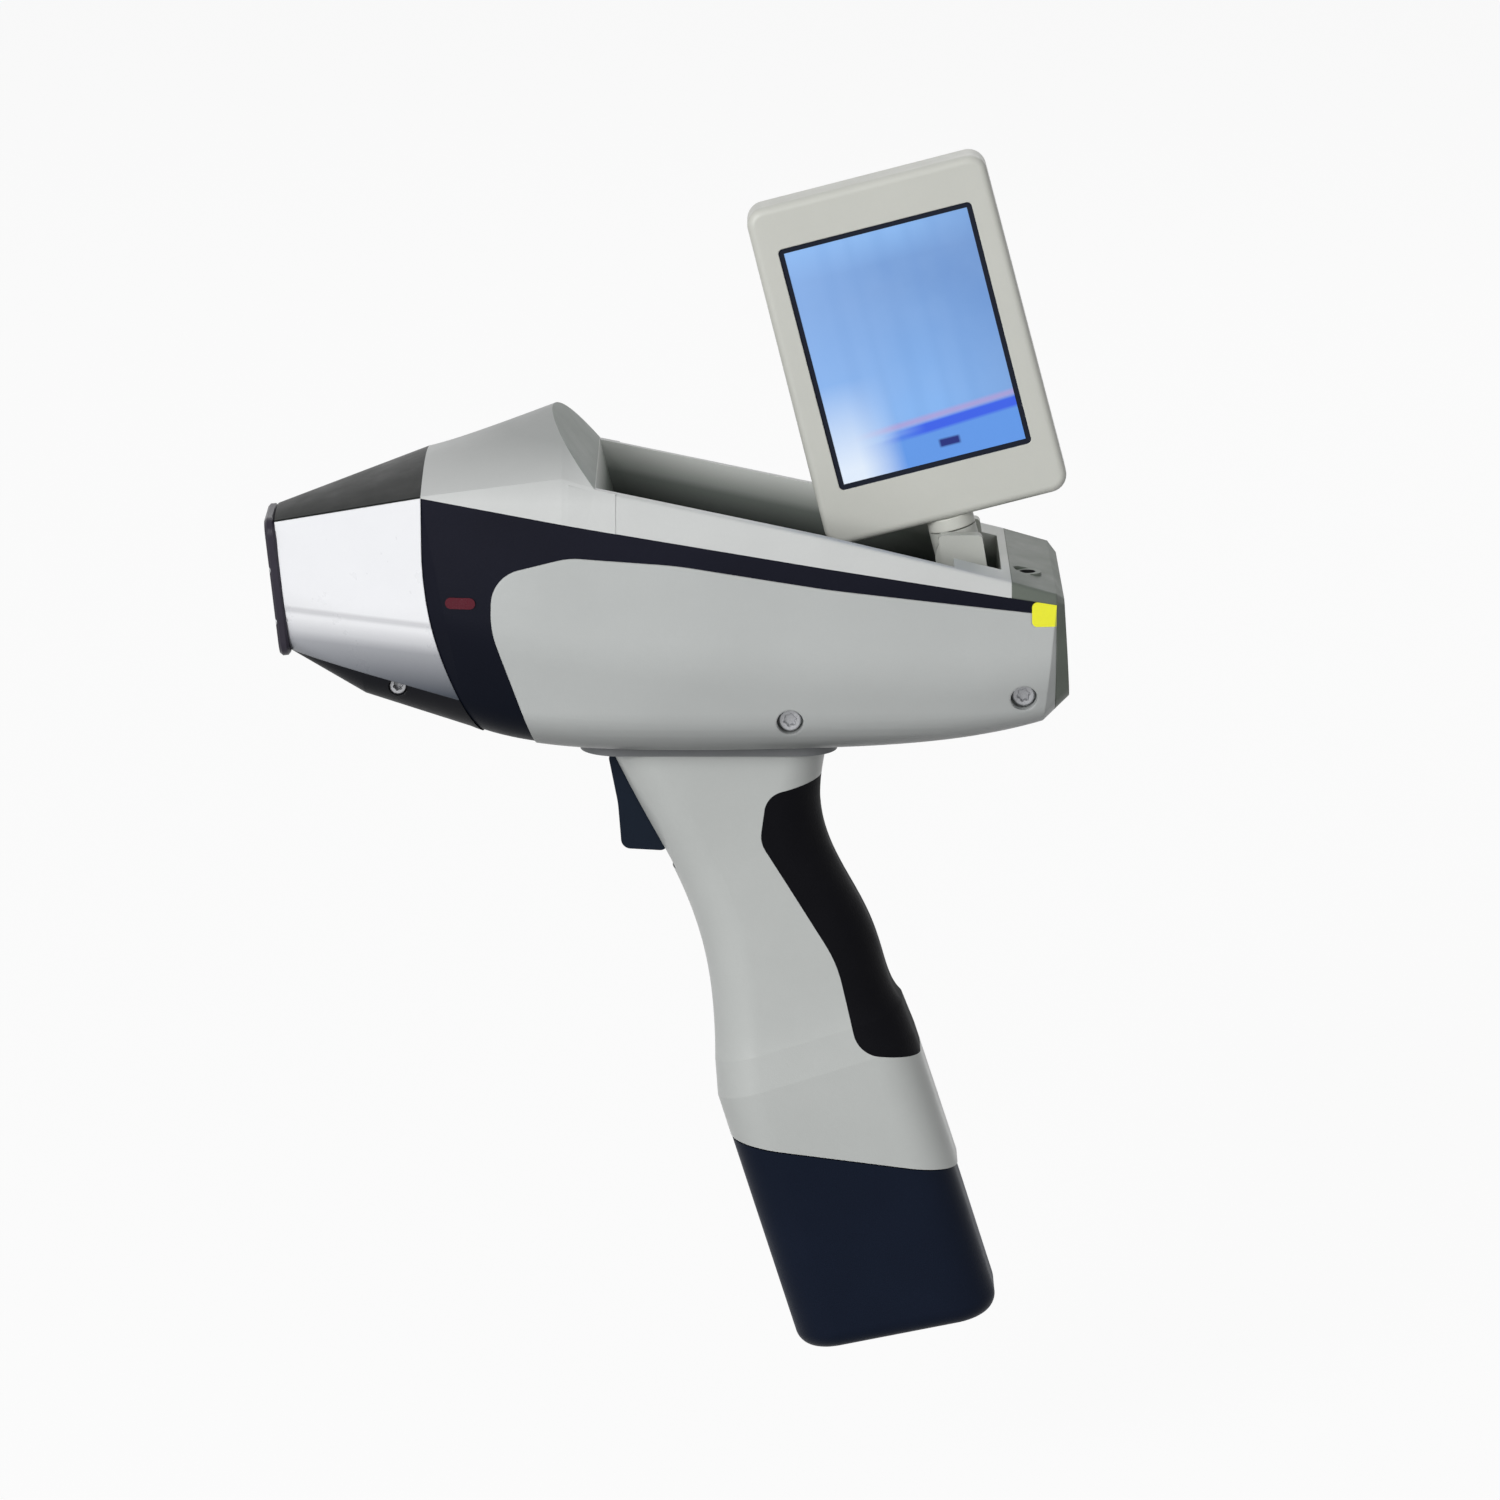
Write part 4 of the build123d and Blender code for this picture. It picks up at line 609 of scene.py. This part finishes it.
def solids_in(mesh):
    """Connected groups of a mesh's vertices, as lists of points."""
    work = bmesh.new()
    work.from_mesh(mesh)
    bmesh.ops.remove_doubles(work, verts=work.verts, dist=SAME_POINT)
    left = set(work.verts)
    groups = []
    for start in work.verts:
        if start not in left:
            continue
        left.remove(start)
        front = [start]
        group = [start]
        while front:
            vertex = front.pop()
            for edge in vertex.link_edges:
                other = edge.other_vert(vertex)
                if other in left:
                    left.remove(other)
                    front.append(other)
                    group.append(other)
        groups.append([vertex.co.copy() for vertex in group])
    work.free()
    return groups


def add_screw(work, points, axis):
    """Screw of the same place and size as the group of points, with a lobed drive recess."""
    heights = [point.dot(axis) for point in points]
    top = max(heights)
    rim = [point for point, height in zip(points, heights) if height > top - FLAT_TOP]
    centre = sum(rim, Vector()) / len(rim)
    depths = [top - height for height in heights]
    reaches = [(point - centre + axis * depth).length for point, depth in zip(points, depths)]
    head_radius = max(reaches)
    shank_radius = min(reaches)
    head_height = max(depth for depth, reach in zip(depths, reaches) if reach > HEAD_RIM * head_radius)
    chamfer = head_radius * HEAD_CHAMFER
    crest = chamfer * CHAMFER_CREST
    drive = head_radius * DRIVE_RADIUS

    def lobed(wave, taper=1.0, lip=0.0):
        return lambda turn: drive * (1 + wave * math.cos(DRIVE_LOBES * turn)) * taper + lip

    outline = [
        (lobed(DRIVE_WAVE, taper=FOOT_TAPER), head_height * DRIVE_FOOT),
        (lobed(DRIVE_WAVE), head_height * DRIVE_EDGE),
        (lobed(LIP_WAVE, lip=head_radius * DRIVE_LIP), 0.0),
        (steady(head_radius - chamfer), 0.0),
        (steady(head_radius - crest), crest),
        (steady(head_radius), chamfer),
        (steady(head_radius), head_height),
        (steady(shank_radius), head_height),
        (steady(shank_radius), max(depths)),
    ]
    across = axis.orthogonal().normalized()
    beside = axis.cross(across)
    rings = [
        ring_of(work, centre - axis * depth, reach, across, beside, SCREW_STEPS)
        for reach, depth in outline
    ]
    skin(work, rings)


def screw_set(node, body, axis_of):
    """Piece with all the screws of a CAD node; axis_of gives the way that a screw's head faces."""
    work = bmesh.new()
    for points in solids_in(nodes[node].data):
        add_screw(work, points, axis_of(points))
    piece = add_piece(node + "_driven", work, steel)
    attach(piece, body)
    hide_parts(node)


def outward(points):
    """Away from the middle plane, on the side the points are on."""
    return Vector((0.0, math.copysign(1.0, points[0].y), 0.0))


screw_set("window_screws", "analyser", lambda points: Vector(mounts["measuring_face"]["axis"]))
screw_set("nose_screws", "analyser", outward)
screw_set("side_screws", "analyser", outward)
screw_set("grip_screws", "analyser", lambda points: RIGHT)
screw_set("display_screws", "display", lambda points: RIGHT)

# --- Trigger spring, which shortens as the trigger is pulled ------------------------------------

COIL_TURNS = 6.5
COIL_STEPS = 260
WIRE_RADIUS = 0.00035
WIRE_SIDES = 8

spring_low, spring_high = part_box("trigger_spring")
spring_length = spring_high.x - spring_low.x
spring_height = (spring_low.z + spring_high.z) / 2
coil_radius = (spring_high.y - spring_low.y) / 2 - WIRE_RADIUS


def wire_ring(work, share):
    """Ring round the coil's wire at a share of the wire's length."""
    turn = 2 * math.pi * COIL_TURNS * share
    aside = Vector((0.0, math.cos(turn), math.sin(turn)))
    rise = WIRE_RADIUS + (spring_length - 2 * WIRE_RADIUS) * share
    centre = Vector((spring_low.x + rise, 0.0, spring_height)) + aside * coil_radius
    return ring_of(work, centre, steady(WIRE_RADIUS), aside, FORWARD, WIRE_SIDES)


work = bmesh.new()
skin(work, [wire_ring(work, step / COIL_STEPS) for step in range(COIL_STEPS + 1)])
coil = add_piece("trigger_spring_coil", work, steel)
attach(coil, "analyser")
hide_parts("trigger_spring")
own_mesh(coil)

# --- Studio -------------------------------------------------------------------------------------

FLOOR_REACH = 6.0
FLOOR_GAP = 0.002
FLOOR_BOUNCE = (0.24, 0.24, 0.24)
FLOOR_DARKER = (0.90, 0.90, 0.90)
FLOOR_LIGHTER = (0.93, 0.93, 0.93)
FLOOR_CLOUD_SCALE = 3.0
FLOOR_ROUGHNESS = 0.9
FLOOR_VEIL = 0.92
SOFT_STRENGTH = 0.24
BACKGROUND_STRENGTH = 0.958
WHITE = (1.0, 1.0, 1.0, 1.0)


def background_rays(tree):
    """1 for the rays that show the background: seen directly, mirrored or through glass."""
    path = tree.nodes.new("ShaderNodeLightPath")
    seen = combine(tree, "MAXIMUM", path.outputs["Is Camera Ray"], path.outputs["Is Transmission Ray"])
    return combine(tree, "MAXIMUM", seen, path.outputs["Is Glossy Ray"])


def mixed(tree, share, first, second):
    """Mix of two shaders."""
    node = tree.nodes.new("ShaderNodeMixShader")
    for value, socket in zip((share, first, second), node.inputs):
        tree.links.new(value, socket)
    return node.outputs["Shader"]


def floor_paint():
    """Pale floor that looks nearly white, and throws only a little light up on the object."""
    material, tree, shader = new_material("floor_pale")
    background = background_rays(tree)
    cloud = noise(tree, object_point(tree), FLOOR_CLOUD_SCALE)
    tone = mix(tree, background, FLOOR_BOUNCE, mix(tree, cloud, FLOOR_DARKER, FLOOR_LIGHTER))
    tree.links.new(tone, shader.inputs["Base Color"])
    shader.inputs["Roughness"].default_value = FLOOR_ROUGHNESS
    glow = tree.nodes.new("ShaderNodeEmission")
    glow.inputs["Strength"].default_value = 1.0
    veil = remap(tree, background, 0.0, 1.0, 0.0, FLOOR_VEIL)
    output = [node for node in tree.nodes if node.type == "OUTPUT_MATERIAL"][0]
    surface = mixed(tree, veil, shader.outputs["BSDF"], glow.outputs["Emission"])
    tree.links.new(surface, output.inputs["Surface"])
    return material


def add_floor(height):
    """Wide flat floor at a height."""
    corners = [(x * FLOOR_REACH, y * FLOOR_REACH, height) for x, y in ((-1, -1), (1, -1), (1, 1), (-1, 1))]
    mesh = bpy.data.meshes.new("floor")
    mesh.from_pydata(corners, [], [(0, 1, 2, 3)])
    mesh.materials.append(floor_paint())
    floor = bpy.data.objects.new("floor", mesh)
    scene.collection.objects.link(floor)


def light_world():
    """Soft even light all round, which looks nearly white where it is the background."""
    world = bpy.data.worlds.new("studio")
    scene.world = world
    world.use_nodes = True
    tree = world.node_tree
    tree.nodes.clear()
    lights = []
    for strength in (SOFT_STRENGTH, BACKGROUND_STRENGTH):
        light = tree.nodes.new("ShaderNodeBackground")
        light.inputs["Color"].default_value = WHITE
        light.inputs["Strength"].default_value = strength
        lights.append(light.outputs["Background"])
    output = tree.nodes.new("ShaderNodeOutputWorld")
    tree.links.new(mixed(tree, background_rays(tree), *lights), output.inputs["Surface"])


def lamp(name, target, offset, size, power):
    """Square area lamp at an offset from the target that it faces."""
    data = bpy.data.lights.new(name, "AREA")
    data.shape = "SQUARE"
    data.size = size
    data.energy = power
    made = bpy.data.objects.new(name, data)
    made.location = target + Vector(offset)
    made.rotation_mode = "QUATERNION"
    made.rotation_quaternion = (-Vector(offset)).to_track_quat("-Z", "Y")
    scene.collection.objects.link(made)


scene.view_settings.view_transform = "Standard"
low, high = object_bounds()
middle = (low + high) / 2

# The floor lies below the battery's foot when the pack is pulled all the way out.
battery_slide = joints["battery_slide"]
add_floor(low.z + battery_slide["axis"][2] * battery_slide["range_m"][1] - FLOOR_GAP)
light_world()
lamp("key", middle, (1.2, 2.0, 0.8), 1.2, 44.0)
lamp("fill", middle, (-1.2, 2.0, 0.9), 1.4, 7.0)
lamp("back", middle, (-0.4, -1.9, 1.5), 1.6, 10.0)

# --- Camera of the reference view: a long lens on the left side, a little above level -----------

VIEW_AZIMUTH = math.radians(180.0)
VIEW_ELEVATION = math.radians(14.0)
VIEW_CENTRE = Vector((-0.144, 0.0, -0.0513))
FRAME_WIDTH = 0.4575
LENS = 180.0
SENSOR = 36.0
CLIP_START = 0.1
CLIP_END = 50.0

level_part = math.cos(VIEW_ELEVATION)
away = Vector(
    (math.sin(VIEW_AZIMUTH) * level_part, -math.cos(VIEW_AZIMUTH) * level_part, math.sin(VIEW_ELEVATION))
)
camera_data = bpy.data.cameras.new("camera")
camera_data.lens = LENS
camera_data.sensor_width = SENSOR
camera_data.clip_start = CLIP_START
camera_data.clip_end = CLIP_END
camera = bpy.data.objects.new("camera", camera_data)
camera.location = VIEW_CENTRE + away * (FRAME_WIDTH * LENS / SENSOR)
camera.rotation_mode = "QUATERNION"
camera.rotation_quaternion = (-away).to_track_quat("-Z", "Y")
scene.collection.objects.link(camera)
scene.camera = camera
